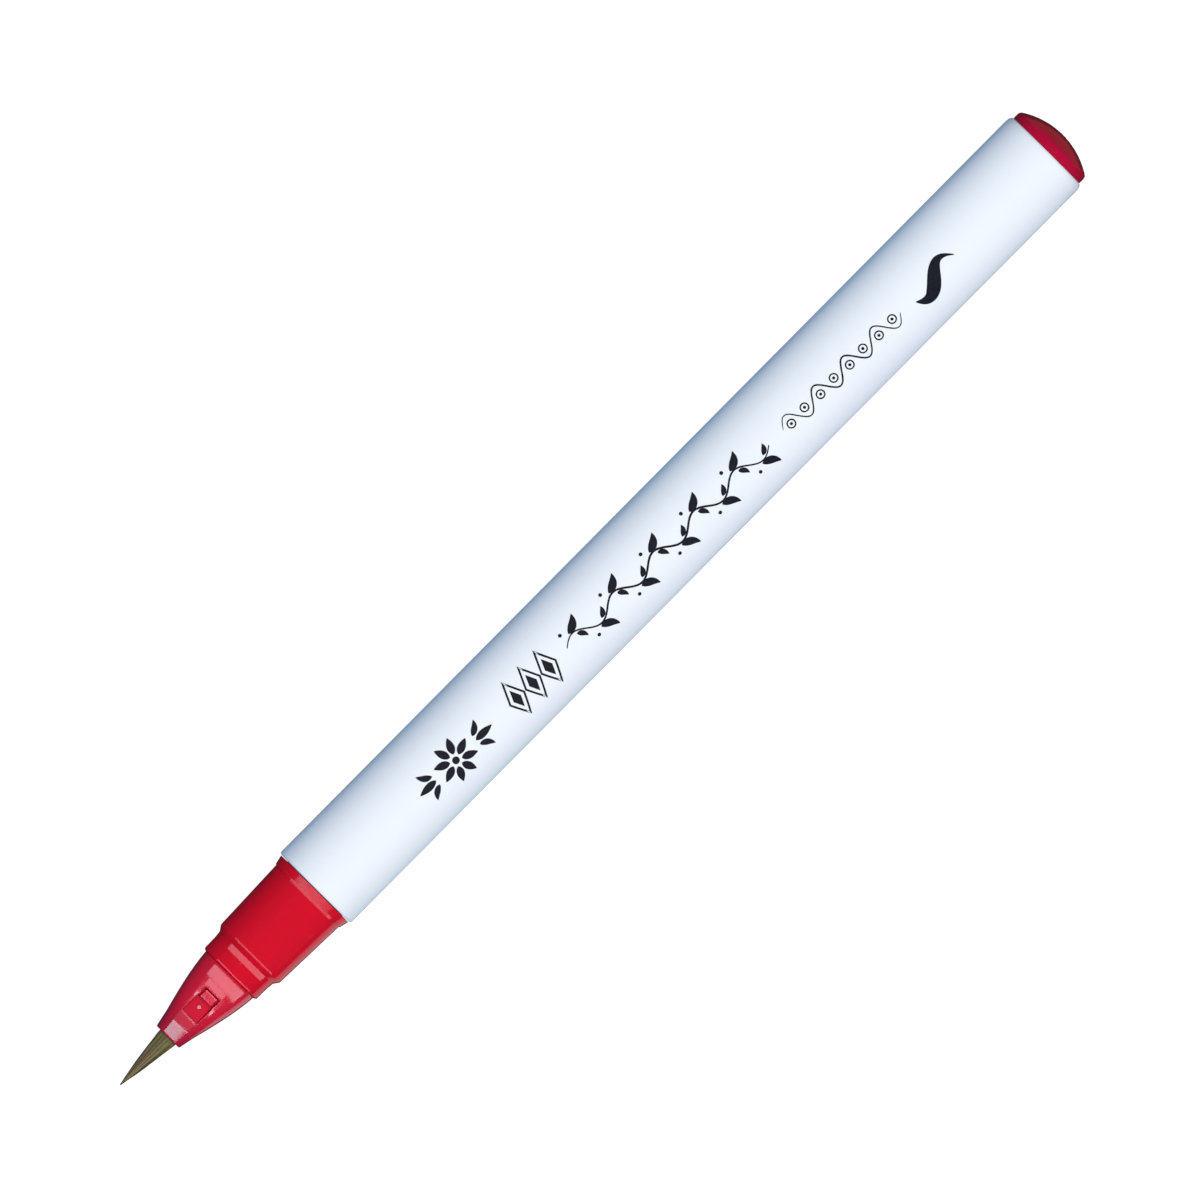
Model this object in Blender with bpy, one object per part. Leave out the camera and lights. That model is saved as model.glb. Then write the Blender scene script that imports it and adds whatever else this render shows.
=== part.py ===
"""Brush pen with a fibre ink reservoir and a tuft of bristles, as separate pieces.

The pen lies along X on the plane z = 0. Its tuft points to -X, its tail to +X, and one of
the two windows in its nose faces up. A station is a distance along the pen, rearwards from
the tuft's point. Each piece is turned about its own X axis from a profile of (x, radius)
points that starts at the piece's own station. All sizes are in metres.
"""

import math

import bmesh
import bpy
from mathutils import Matrix

# Overall sizes
BARREL_LENGTH = 0.1103
BARREL_RADIUS = 0.0053
BARREL_WALL = 0.0011
TUFT_LENGTH = 0.0072  # from the point to the nose's mouth
TUFT_RADIUS = 0.0012  # at the nose's mouth
NOSE_LENGTH = 0.0092

# Gaps between pieces
SEAM_GAP = 0.00012  # seams that show on the outside
FIT_GAP = 0.00012  # pieces seated in each other
MOUTH_CLEARANCE = 0.00015  # the bending tuft in the nose's mouth
FEED_CLEARANCE = 0.0002  # the feed core in its guide tube
FILM_CLEARANCE = 0.0001  # the film round the reservoir

# Tuft and its bound root
TUFT_TAPER = 0.76  # the radius grows with this power of the distance from the point
TUFT_RINGS = 9
TUFT_FLARE = 1.6  # spaces the rings closer together towards the point
PIVOT_OUT = 0.0003  # the bending axis, in front of the mouth
ROOT_FLANGE_THICKNESS = 0.0005
ROOT_SOCKET_DEPTH = 0.00095

# Nose
MOUTH_WALL = 0.00033
MOUTH_LENGTH = 0.0019
MOUTH_SLOPE = 0.21
MOUTH_CHAMFER = 0.00012
NOSE_FRONT_SLOPE = 0.26
NOSE_REAR_SLOPE = 0.08
NOSE_WALL = 0.0005
NOSE_RINGS = 8
SHOULDER_DEPTH = 0.0019  # mouth to the inner shoulder that stops the tuft's root
SOCKET_DEPTH = 0.00235
WINDOW_START = 0.00315  # from the mouth
WINDOW_WIDTH = 0.0022
WINDOW_BRIDGE = 0.0002  # between the window and the socket

# Tuft holder
TAB_RECESS = 0.0002  # latch tab below the nose's surface
TAB_LENGTH = 0.00105
TAB_SIDE_GAP = 0.00027  # each side of the tab in its window
VENT_WIDTH = 0.0005
VENT_DEPTH = 0.00025

# Section: land, neck and collar, from front to rear
NOSE_INSET = 0.00034  # the nose's rear below the land's front
LAND_CHAMFER = 0.00027
LAND_CHAMFER_LENGTH = 0.00045
LAND_LENGTH = 0.00255
LAND_DRAFT = 0.00003
BAND_LENGTH = 0.0007
BAND_RISE = 0.00008
STEP_HEIGHT = 0.00043
STEP_LENGTH = 0.00074
NECK_LENGTH = 0.0085
NECK_DRAFT = 0.00028
NECK_INSET = 0.00012
COLLAR_LENGTH = 0.00103
COLLAR_DRAFT = 0.00022
COLLAR_INSET = 0.00027  # the collar's rear below the barrel
SECTION_WALL = 0.001
SECTION_FRONT_WALL = 0.0015
SPIGOT_LENGTH = 0.0071  # what goes into the barrel
SPIGOT_WALL = 0.0008
GUIDE_WALL = 0.0006
GUIDE_BACK = 0.0035  # the guide tube ends this far inside the spigot
LEAD_IN = 0.0002

# Snap beads on the section and the plug, in grooves of the barrel's bore
BEAD_HEIGHT = 0.0002
BEAD_WIDTH = 0.0005
BEAD_SETBACK = 0.0035  # from the barrel's end to the bead's middle

# Barrel ends
BARREL_FRONT_EDGE = 0.00025
BARREL_REAR_EDGE = 0.00035  # how far the rear edge turns in
BARREL_REAR_EDGE_LENGTH = 0.00085
EDGE_STEPS = 4

# Tail plug
PLUG_LENGTH = 0.00236  # what shows behind the barrel
PLUG_LIP = 0.0005
PLUG_INSET = 0.00037  # the lip below the barrel's outside
PLUG_LIP_ROUND = 0.00025
PLUG_SPIGOT_LENGTH = 0.008
PLUG_WALL = 0.0009
DOME_STEPS = 8

# Feed core and reservoir
FEED_RADIUS = 0.00075
FEED_POINT = 0.0006
FEED_ENTRY = 0.0023  # how far the core goes into the reservoir
FEED_SOCKET_SPARE = 0.0004
FILM_WALL = 0.00012
BORE_CLEARANCE = 0.0002  # the film in the barrel's bore

# Facets round a turn
OUTER_FACETS = 32  # each wide enough for the pen to lie still on
RESERVOIR_FACETS = 32
CORE_FACETS = 24

MERGE = 1e-7  # closer points than this are one

# Radii that follow from those sizes
BORE_RADIUS = BARREL_RADIUS - BARREL_WALL
SPIGOT_RADIUS = BORE_RADIUS - FIT_GAP
COLLAR_RADIUS = BARREL_RADIUS - COLLAR_INSET
NECK_REAR_RADIUS = COLLAR_RADIUS - COLLAR_DRAFT - NECK_INSET
NECK_FRONT_RADIUS = NECK_REAR_RADIUS - NECK_DRAFT
BAND_RADIUS = NECK_FRONT_RADIUS - STEP_HEIGHT
LAND_RADIUS = BAND_RADIUS - BAND_RISE - LAND_DRAFT
NOSE_REAR_RADIUS = LAND_RADIUS - NOSE_INSET
MOUTH_BORE = TUFT_RADIUS + MOUTH_CLEARANCE
MOUTH_RADIUS = MOUTH_BORE + MOUTH_WALL
GUIDE_BORE = FEED_RADIUS + FEED_CLEARANCE
GUIDE_RADIUS = GUIDE_BORE + GUIDE_WALL
PLUG_RADIUS = BARREL_RADIUS - PLUG_INSET
FILM_RADIUS = BORE_RADIUS - BORE_CLEARANCE
RESERVOIR_RADIUS = FILM_RADIUS - FILM_WALL - FILM_CLEARANCE
REST_HEIGHT = BARREL_RADIUS * math.cos(math.pi / OUTER_FACETS)  # it lies on a facet

# Stations that follow from those sizes
PIVOT = TUFT_LENGTH - PIVOT_OUT
MOUTH = TUFT_LENGTH
SOCKET_START = NOSE_LENGTH - SOCKET_DEPTH  # from the mouth
SECTION_FRONT = MOUTH + NOSE_LENGTH + SEAM_GAP
COLLAR_END = LAND_LENGTH + STEP_LENGTH + NECK_LENGTH + COLLAR_LENGTH  # from the section's front
BARREL_FRONT = SECTION_FRONT + COLLAR_END + SEAM_GAP
BARREL_REAR = BARREL_FRONT + BARREL_LENGTH
PLUG_SEAT = BARREL_REAR + SEAM_GAP
PEN_LENGTH = PLUG_SEAT + PLUG_LENGTH
ROOT_FLANGE_FRONT = MOUTH + SHOULDER_DEPTH + FIT_GAP
ROOT_REAR = ROOT_FLANGE_FRONT + ROOT_FLANGE_THICKNESS
HOLDER_FRONT = ROOT_REAR + FIT_GAP
HOLDER_REAR = MOUTH + SOCKET_START - FIT_GAP
FEED_FRONT = ROOT_REAR - ROOT_SOCKET_DEPTH + FIT_GAP
RESERVOIR_FRONT = BARREL_FRONT + SPIGOT_LENGTH + FIT_GAP
RESERVOIR_REAR = PLUG_SEAT - PLUG_SPIGOT_LENGTH - FIT_GAP

WHITE = (0.90, 0.92, 0.95)
RED = (0.66, 0.01, 0.03)
NOSE_RED = (0.62, 0.03, 0.07)
PLUG_RED = (0.42, 0.005, 0.02)
BRISTLE = (0.19, 0.13, 0.06)
FUSED_BRISTLE = (0.12, 0.08, 0.04)
CORE_PINK = (0.75, 0.25, 0.28)
FIBRE_RED = (0.60, 0.08, 0.10)
FILM_CLEAR = (0.85, 0.86, 0.88)


def clear_scene():
    for item in list(bpy.data.objects):
        bpy.data.objects.remove(item)


def plastic(name, colour, roughness):
    material = bpy.data.materials.new(name)
    material.use_nodes = True
    shader = material.node_tree.nodes["Principled BSDF"]
    shader.inputs["Base Color"].default_value = (*colour, 1.0)
    shader.inputs["Roughness"].default_value = roughness
    shader.inputs["Metallic"].default_value = 0.0
    return material


def arc(centre_x, centre_r, radius_x, radius_r, start, end, steps):
    """Points of (x, radius) round part of an ellipse, from angle start to end in degrees."""
    angles = [math.radians(start + (end - start) * i / steps) for i in range(steps + 1)]
    return [(centre_x + radius_x * math.cos(a), centre_r + radius_r * math.sin(a)) for a in angles]


def turned_mesh(name, profile, facets, ring):
    """The profile turned about X. A ring's profile is a closed loop that stays off the axis."""
    shape = bmesh.new()
    points = [shape.verts.new((x, 0.0, radius)) for x, radius in profile]
    pairs = list(zip(points, points[1:]))
    if ring:
        pairs.append((points[-1], points[0]))
    lines = [shape.edges.new(pair) for pair in pairs]
    bmesh.ops.spin(
        shape,
        geom=points + lines,
        cent=(0.0, 0.0, 0.0),
        axis=(1.0, 0.0, 0.0),
        angle=2 * math.pi,
        steps=facets,
        use_merge=True,
    )
    bmesh.ops.remove_doubles(shape, verts=shape.verts, dist=MERGE)
    half_facet = Matrix.Rotation(math.pi / facets, 4, "X")
    bmesh.ops.transform(shape, matrix=half_facet, verts=shape.verts)
    bmesh.ops.recalc_face_normals(shape, faces=shape.faces)
    mesh = bpy.data.meshes.new(name)
    shape.to_mesh(mesh)
    shape.free()
    mesh.shade_smooth()
    mesh.set_sharp_from_angle(angle=math.radians(30))
    return mesh


def place(name, mesh, station, axis, material=None):
    """An object at that station of the pen's axis."""
    item = bpy.data.objects.new(name, mesh)
    bpy.context.scene.collection.objects.link(item)
    item.parent = axis
    item.location = (station, 0.0, 0.0)
    if material:
        mesh.materials.append(material)
    return item


def guide(item):
    """Marks a cutter or another helper, which isn't a piece of the pen."""
    item.hide_render = True
    item.display_type = "WIRE"
    return item


def block(name, station, axis, low, high):
    """A box from corner low to corner high, measured from that station."""
    shape = bmesh.new()
    bmesh.ops.create_cube(shape, size=1.0)
    size = [b - a for a, b in zip(low, high)]
    middle = [(a + b) / 2 for a, b in zip(low, high)]
    bmesh.ops.scale(shape, vec=size, verts=shape.verts)
    bmesh.ops.translate(shape, vec=middle, verts=shape.verts)
    mesh = bpy.data.meshes.new(name)
    shape.to_mesh(mesh)
    shape.free()
    return guide(place(name, mesh, station, axis))


def combine(item, other, operation):
    modifier = item.modifiers.new(other.name, "BOOLEAN")
    modifier.operation = operation
    modifier.object = other
    modifier.solver = "EXACT"


def nose_radius(distance):
    """The nose's outer radius at a distance behind its mouth: a plain cone, then an ogive."""
    if distance <= MOUTH_LENGTH:
        return MOUTH_RADIUS + MOUTH_SLOPE * distance
    length = NOSE_LENGTH - MOUTH_LENGTH
    t = (distance - MOUTH_LENGTH) / length
    front = MOUTH_RADIUS + MOUTH_SLOPE * MOUTH_LENGTH
    return (
        front * (1 - 3 * t**2 + 2 * t**3)
        + NOSE_REAR_RADIUS * (3 * t**2 - 2 * t**3)
        + length * NOSE_FRONT_SLOPE * t * (1 - t) ** 2
        - length * NOSE_REAR_SLOPE * t**2 * (1 - t)
    )


def spaced(start, end, steps):
    return [start + (end - start) * i / steps for i in range(steps + 1)]


def bead(middle, radius, height):
    """A snap bead's or a snap groove's four profile points, in order along x."""
    half = BEAD_WIDTH / 2
    return [
        (middle - half - height, radius),
        (middle - half, radius + height),
        (middle + half, radius + height),
        (middle + half + height, radius),
    ]


def make_barrel(axis, material):
    front_edge = arc(
        BARREL_FRONT_EDGE, BARREL_RADIUS - BARREL_FRONT_EDGE,
        BARREL_FRONT_EDGE, BARREL_FRONT_EDGE, 180, 90, EDGE_STEPS,
    )
    rear_edge = arc(
        BARREL_LENGTH - BARREL_REAR_EDGE_LENGTH, BARREL_RADIUS - BARREL_REAR_EDGE,
        BARREL_REAR_EDGE_LENGTH, BARREL_REAR_EDGE, 90, 0, EDGE_STEPS,
    )
    rear_groove = bead(BARREL_LENGTH - BEAD_SETBACK, BORE_RADIUS, BEAD_HEIGHT)
    front_groove = bead(BEAD_SETBACK, BORE_RADIUS, BEAD_HEIGHT)
    bore = [
        (BARREL_LENGTH, BORE_RADIUS),
        *reversed(rear_groove),
        *reversed(front_groove),
        (0.0, BORE_RADIUS),
    ]
    mesh = turned_mesh("barrel", front_edge + rear_edge + bore, OUTER_FACETS, ring=True)
    return place("barrel", mesh, BARREL_FRONT, axis, material)


def make_tail_plug(axis, material):
    dome_radius = PLUG_RADIUS - PLUG_LIP_ROUND
    height = PLUG_LENGTH - PLUG_LIP - PLUG_LIP_ROUND
    sphere = (dome_radius**2 + height**2) / (2 * height)
    span = math.degrees(math.asin(dome_radius / sphere))
    dome = arc(PLUG_LENGTH - sphere, 0.0, sphere, sphere, span, 0, DOME_STEPS)
    bead_middle = -(BEAD_SETBACK + SEAM_GAP)
    outside = [
        (-PLUG_SPIGOT_LENGTH, SPIGOT_RADIUS - LEAD_IN),
        (-PLUG_SPIGOT_LENGTH + LEAD_IN, SPIGOT_RADIUS),
        *bead(bead_middle, SPIGOT_RADIUS, BEAD_HEIGHT),
        (0.0, SPIGOT_RADIUS),
        (0.0, PLUG_RADIUS),
    ]
    lip = arc(PLUG_LIP, dome_radius, PLUG_LIP_ROUND, PLUG_LIP_ROUND, 90, 0, EDGE_STEPS)
    inside = [
        (-PLUG_WALL, 0.0),
        (-PLUG_WALL, SPIGOT_RADIUS - PLUG_WALL),
        (-PLUG_SPIGOT_LENGTH, SPIGOT_RADIUS - PLUG_WALL),
    ]
    dome[-1] = (PLUG_LENGTH, 0.0)
    mesh = turned_mesh("tail_plug", inside + outside + lip + dome[1:], OUTER_FACETS, ring=False)
    return place("tail_plug", mesh, PLUG_SEAT, axis, material)


def make_section(axis, material):
    """The coloured front body: spigot for the nose, land, neck, collar, spigot for the barrel."""
    nose_spigot_radius = nose_radius(SOCKET_START) - NOSE_WALL - FIT_GAP
    nose_spigot = -(SOCKET_DEPTH + SEAM_GAP)
    neck_front = LAND_LENGTH + STEP_LENGTH
    neck_rear = neck_front + NECK_LENGTH
    spigot_end = COLLAR_END + SEAM_GAP + SPIGOT_LENGTH
    bead_middle = COLLAR_END + SEAM_GAP + BEAD_SETBACK
    cavity_radius = SPIGOT_RADIUS - SPIGOT_WALL
    outside = [
        (nose_spigot, GUIDE_BORE),
        (nose_spigot, nose_spigot_radius - LEAD_IN),
        (nose_spigot + LEAD_IN, nose_spigot_radius),
        (0.0, nose_spigot_radius),
        (0.0, LAND_RADIUS - LAND_CHAMFER),
        (LAND_CHAMFER_LENGTH, LAND_RADIUS),
        (LAND_LENGTH - BAND_LENGTH, LAND_RADIUS + LAND_DRAFT),
        (LAND_LENGTH, BAND_RADIUS),
        (neck_front, NECK_FRONT_RADIUS),
        (neck_rear, NECK_REAR_RADIUS),
        (neck_rear, COLLAR_RADIUS - COLLAR_DRAFT),
        (COLLAR_END, COLLAR_RADIUS),
        (COLLAR_END, SPIGOT_RADIUS),
        *bead(bead_middle, SPIGOT_RADIUS, BEAD_HEIGHT),
        (spigot_end - LEAD_IN, SPIGOT_RADIUS),
        (spigot_end, SPIGOT_RADIUS - LEAD_IN),
        (spigot_end, cavity_radius),
    ]
    cavity_front_radius = min(LAND_RADIUS - SECTION_WALL, cavity_radius)
    inside = [
        (neck_front + SECTION_WALL, cavity_radius),
        (neck_front, cavity_front_radius),
        (SECTION_FRONT_WALL, cavity_front_radius),
        (SECTION_FRONT_WALL, GUIDE_RADIUS),
        (spigot_end - GUIDE_BACK, GUIDE_RADIUS),
        (spigot_end - GUIDE_BACK, GUIDE_BORE),
    ]
    mesh = turned_mesh("section", outside + inside, OUTER_FACETS, ring=True)
    return place("section", mesh, SECTION_FRONT, axis, material)


def make_nose(axis, material):
    """The nose cone, with a window through its wall at the top and the bottom."""
    socket_radius = nose_radius(SOCKET_START) - NOSE_WALL
    cone = spaced(MOUTH_LENGTH, NOSE_LENGTH, NOSE_RINGS)
    outside = [
        (0.0, MOUTH_BORE + MOUTH_CHAMFER),
        (0.0, MOUTH_RADIUS - MOUTH_CHAMFER),
        (MOUTH_CHAMFER, nose_radius(MOUTH_CHAMFER)),
        *[(x, nose_radius(x)) for x in cone],
    ]
    lining = spaced(SOCKET_START, SHOULDER_DEPTH, NOSE_RINGS // 2)
    inside = [
        (NOSE_LENGTH, socket_radius),
        *[(x, nose_radius(x) - NOSE_WALL) for x in lining],
        (SHOULDER_DEPTH, MOUTH_BORE),
        (MOUTH_CHAMFER, MOUTH_BORE),
    ]
    mesh = turned_mesh("nose_cone", outside + inside, OUTER_FACETS, ring=True)
    nose = place("nose_cone", mesh, MOUTH, axis, material)
    reach = 2 * NOSE_REAR_RADIUS
    window = block(
        "window_cutter", MOUTH, axis,
        (WINDOW_START, -WINDOW_WIDTH / 2, -reach),
        (SOCKET_START - WINDOW_BRIDGE, WINDOW_WIDTH / 2, reach),
    )
    combine(nose, window, "DIFFERENCE")
    return nose


def make_holder(axis, material):
    """The bush that keeps the tuft's root in the nose, with a latch tab for each window."""
    start, end = HOLDER_FRONT - MOUTH, HOLDER_REAR - MOUTH
    stations = spaced(start, end, NOSE_RINGS // 2)
    body = [(x - start, nose_radius(x) - NOSE_WALL - FIT_GAP) for x in stations]
    body += [(end - start, GUIDE_BORE), (0.0, GUIDE_BORE)]
    holder = place(
        "tuft_holder", turned_mesh("tuft_holder", body, OUTER_FACETS, ring=True),
        HOLDER_FRONT, axis, material,
    )
    tab_end = SOCKET_START - WINDOW_BRIDGE - FIT_GAP
    tab_start = tab_end - TAB_LENGTH
    tab_stations = spaced(tab_start, tab_end, NOSE_RINGS // 2)
    tab_inner = (GUIDE_BORE + nose_radius(tab_start) - NOSE_WALL) / 2
    tab = [(x - start, nose_radius(x) - TAB_RECESS) for x in tab_stations]
    tab += [(tab_end - start, tab_inner), (tab_start - start, tab_inner)]
    tabs = guide(
        place("tab_ring", turned_mesh("tab_ring", tab, OUTER_FACETS, ring=True), HOLDER_FRONT, axis)
    )
    half = WINDOW_WIDTH / 2 - TAB_SIDE_GAP
    reach = 2 * NOSE_REAR_RADIUS
    slab = block("tab_slab", MOUTH, axis, (0.0, -half, -reach), (NOSE_LENGTH, half, reach))
    combine(tabs, slab, "INTERSECT")
    combine(holder, tabs, "UNION")
    for side in (-1, 1):
        wall = nose_radius(start) - NOSE_WALL - FIT_GAP
        low, high = sorted((side * (wall - VENT_DEPTH), side * reach))
        vent = block(
            f"vent_cutter_{'left' if side > 0 else 'right'}", MOUTH, axis,
            (0.0, low, -VENT_WIDTH / 2), (NOSE_LENGTH, high, VENT_WIDTH / 2),
        )
        combine(holder, vent, "DIFFERENCE")
    return holder


def tuft_radius(distance):
    """The tuft's radius at a distance from its point."""
    return TUFT_RADIUS * (distance / TUFT_LENGTH) ** TUFT_TAPER


def make_tuft(axis, material):
    """The free bristles. Their root is a ball round the bending axis, so that they can turn."""
    rings = [PIVOT * (i / TUFT_RINGS) ** TUFT_FLARE for i in range(TUFT_RINGS)]
    cone = [(x - PIVOT, tuft_radius(x)) for x in rings]
    ball = tuft_radius(PIVOT)
    root = arc(0.0, 0.0, ball, ball, 90, 0, CORE_FACETS // 4)
    root[-1] = (ball, 0.0)
    mesh = turned_mesh("tuft", cone + root, CORE_FACETS, ring=False)
    return place("tuft", mesh, PIVOT, axis, material)


def make_tuft_root(axis, material):
    """The bound, fused butt of the bristles, with a socket at the back for the feed core."""
    front = PIVOT + tuft_radius(PIVOT) + FIT_GAP
    length = ROOT_REAR - front
    flange = ROOT_FLANGE_FRONT - front
    flange_radius = nose_radius(SHOULDER_DEPTH) - NOSE_WALL - FIT_GAP
    socket_radius = FEED_RADIUS + FIT_GAP
    profile = [
        (0.0, 0.0),
        (0.0, TUFT_RADIUS),
        (flange, TUFT_RADIUS),
        (flange, flange_radius),
        (length, flange_radius),
        (length, socket_radius),
        (length - ROOT_SOCKET_DEPTH, socket_radius),
        (length - ROOT_SOCKET_DEPTH, 0.0),
    ]
    mesh = turned_mesh("tuft_root", profile, CORE_FACETS, ring=False)
    return place("tuft_root", mesh, front, axis, material)


def make_feed_core(axis, material):
    length = RESERVOIR_FRONT + FEED_ENTRY - FEED_FRONT
    blunt = FEED_RADIUS / 2
    profile = [
        (0.0, 0.0),
        (0.0, blunt),
        (FEED_POINT, FEED_RADIUS),
        (length - FEED_POINT, FEED_RADIUS),
        (length, blunt),
        (length, 0.0),
    ]
    mesh = turned_mesh("feed_core", profile, CORE_FACETS, ring=False)
    return place("feed_core", mesh, FEED_FRONT, axis, material)


def make_reservoir(axis, material):
    length = RESERVOIR_REAR - RESERVOIR_FRONT
    socket_depth = FEED_ENTRY + FEED_SOCKET_SPARE
    socket_radius = FEED_RADIUS + FEED_CLEARANCE
    profile = [
        (socket_depth, 0.0),
        (socket_depth, socket_radius),
        (0.0, socket_radius),
        (0.0, RESERVOIR_RADIUS),
        (length, RESERVOIR_RADIUS),
        (length, 0.0),
    ]
    mesh = turned_mesh("ink_reservoir", profile, RESERVOIR_FACETS, ring=False)
    return place("ink_reservoir", mesh, RESERVOIR_FRONT, axis, material)


def make_film(axis, material):
    length = RESERVOIR_REAR - RESERVOIR_FRONT
    profile = [
        (0.0, FILM_RADIUS),
        (length, FILM_RADIUS),
        (length, FILM_RADIUS - FILM_WALL),
        (0.0, FILM_RADIUS - FILM_WALL),
    ]
    mesh = turned_mesh("reservoir_film", profile, RESERVOIR_FACETS, ring=True)
    return place("reservoir_film", mesh, RESERVOIR_FRONT, axis, material)


def main():
    clear_scene()
    axis = bpy.data.objects.new("pen_axis", None)
    bpy.context.scene.collection.objects.link(axis)
    axis.location = (-PEN_LENGTH / 2, 0.0, REST_HEIGHT)
    red = plastic("section_red", RED, 0.3)
    nose_red = plastic("nose_red", NOSE_RED, 0.2)
    make_barrel(axis, plastic("barrel_white", WHITE, 0.4))
    make_tail_plug(axis, plastic("plug_red", PLUG_RED, 0.2))
    make_section(axis, red)
    make_nose(axis, nose_red)
    make_holder(axis, nose_red)
    make_tuft(axis, plastic("bristle", BRISTLE, 0.5))
    make_tuft_root(axis, plastic("fused_bristle", FUSED_BRISTLE, 0.6))
    make_feed_core(axis, plastic("feed_fibre", CORE_PINK, 0.7))
    make_reservoir(axis, plastic("reservoir_fibre", FIBRE_RED, 0.9))
    make_film(axis, plastic("film_clear", FILM_CLEAR, 0.1))


main()
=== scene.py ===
import math
import random

import bmesh
import bpy
from bpy.props import FloatProperty, FloatVectorProperty, IntProperty, PointerProperty
from mathutils import Matrix, Vector


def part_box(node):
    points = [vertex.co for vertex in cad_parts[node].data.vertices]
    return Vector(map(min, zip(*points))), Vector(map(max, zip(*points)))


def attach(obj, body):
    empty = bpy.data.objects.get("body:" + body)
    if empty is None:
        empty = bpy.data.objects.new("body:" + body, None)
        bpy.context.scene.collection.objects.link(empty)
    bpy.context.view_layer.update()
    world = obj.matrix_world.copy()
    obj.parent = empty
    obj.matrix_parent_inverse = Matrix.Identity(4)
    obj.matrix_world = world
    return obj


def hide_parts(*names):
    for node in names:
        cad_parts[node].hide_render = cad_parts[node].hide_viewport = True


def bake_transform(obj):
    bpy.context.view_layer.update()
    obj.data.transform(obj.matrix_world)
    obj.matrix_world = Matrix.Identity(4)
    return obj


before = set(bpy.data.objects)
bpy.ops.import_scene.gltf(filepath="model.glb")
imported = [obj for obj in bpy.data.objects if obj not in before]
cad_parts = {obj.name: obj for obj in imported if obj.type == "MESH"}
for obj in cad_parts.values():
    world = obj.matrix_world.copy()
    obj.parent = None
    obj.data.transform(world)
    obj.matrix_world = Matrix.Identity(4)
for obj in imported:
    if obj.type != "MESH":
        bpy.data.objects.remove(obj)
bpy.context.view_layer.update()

# A brush pen without its cap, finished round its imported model. The pen lies along X with its
# tuft towards -X, on the plane z = 0, and one of the two windows in its nose faces up. Sizes are
# in metres. A station is a distance along X, and a profile is a list of (x, radius) or
# (x, radius, rounding) points that is turned about the pen's axis. A rounding is in shares of
# EDGE_ROUND.

bl_info = {
    "name": "Brush Pen Finish",
    "version": (1, 0, 0),
    "blender": (4, 5, 0),
    "location": "3D View > Sidebar > Brush Pen",
    "description": "Builds the finished surfaces, tuft, print and studio of a brush pen",
    "category": "Object",
}

# Sizes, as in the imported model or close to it
BARREL_RADIUS = 0.0053
BARREL_WALL = 0.0011
TUFT_RADIUS = 0.0012  # at the nose's mouth
TUFT_TAPER = 0.76  # the radius grows with this power of the distance from the point
SEAM_GAP = 0.00012
FIT_GAP = 0.00012
NOSE_SEAM = 0.00001  # how wide the closed seams look
COLLAR_SEAM = 0.00009
PLUG_SEAM = 0.00003
MOUTH_BORE = 0.00135
MOUTH_RADIUS = 0.00168
MOUTH_LENGTH = 0.0019
MOUTH_SLOPE = 0.21
NOSE_FRONT_SLOPE = 0.26
NOSE_REAR_SLOPE = 0.08
NOSE_REAR_RADIUS = 0.00353
NOSE_WALL = 0.0005
SHOULDER_DEPTH = 0.0019  # mouth to the inner shoulder that stops the tuft's root
SOCKET_DEPTH = 0.00235
WINDOW_START = 0.00315  # from the mouth
WINDOW_WIDTH = 0.0022
WINDOW_BRIDGE = 0.0002  # between the window and the socket
TAB_RECESS = 0.0002  # latch tab below the nose's surface
TAB_LENGTH = 0.00105
TAB_SIDE_GAP = 0.00027
LAND_RADIUS = 0.00387
LAND_CHAMFER = 0.00027
LAND_CHAMFER_LENGTH = 0.00017
LAND_LENGTH = 0.00255
LAND_DRAFT = 0.00003
BAND_LENGTH = 0.0007
BAND_RADIUS = 0.00398
STEP_LENGTH = 0.00074
NECK_LENGTH = 0.0085
NECK_FRONT_RADIUS = 0.00441
NECK_REAR_RADIUS = 0.00469
COLLAR_LENGTH = 0.00103
COLLAR_FRONT_RADIUS = 0.00481
COLLAR_RADIUS = 0.00503
SECTION_WALL = 0.001
SECTION_FRONT_WALL = 0.0015
SPIGOT_WALL = 0.0008
GUIDE_WALL = 0.0006
GUIDE_BACK = 0.0035
LEAD_IN = 0.0002
BEAD_HEIGHT = 0.0002
BEAD_WIDTH = 0.0005
BEAD_SETBACK = 0.0035
PLUG_RADIUS = 0.00493
PLUG_LIP = 0.0005
PLUG_LIP_ROUND = 0.0006
PLUG_SPIGOT_LENGTH = 0.008
PLUG_WALL = 0.0009
FEED_RADIUS = 0.00075
FEED_POINT = 0.0006
FEED_CLEARANCE = 0.0002
FEED_ENTRY = 0.0023
FEED_SOCKET_SPARE = 0.0004
ROOT_FLANGE_THICKNESS = 0.0005
ROOT_SOCKET_DEPTH = 0.00095
FILM_WALL = 0.00012
FILM_CLEARANCE = 0.0001
BORE_CLEARANCE = 0.0002

# Radii that follow
BORE_RADIUS = BARREL_RADIUS - BARREL_WALL
SPIGOT_RADIUS = BORE_RADIUS - FIT_GAP
GUIDE_BORE = FEED_RADIUS + FEED_CLEARANCE
GUIDE_RADIUS = GUIDE_BORE + GUIDE_WALL
FILM_RADIUS = BORE_RADIUS - BORE_CLEARANCE
RESERVOIR_RADIUS = FILM_RADIUS - FILM_WALL - FILM_CLEARANCE

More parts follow.
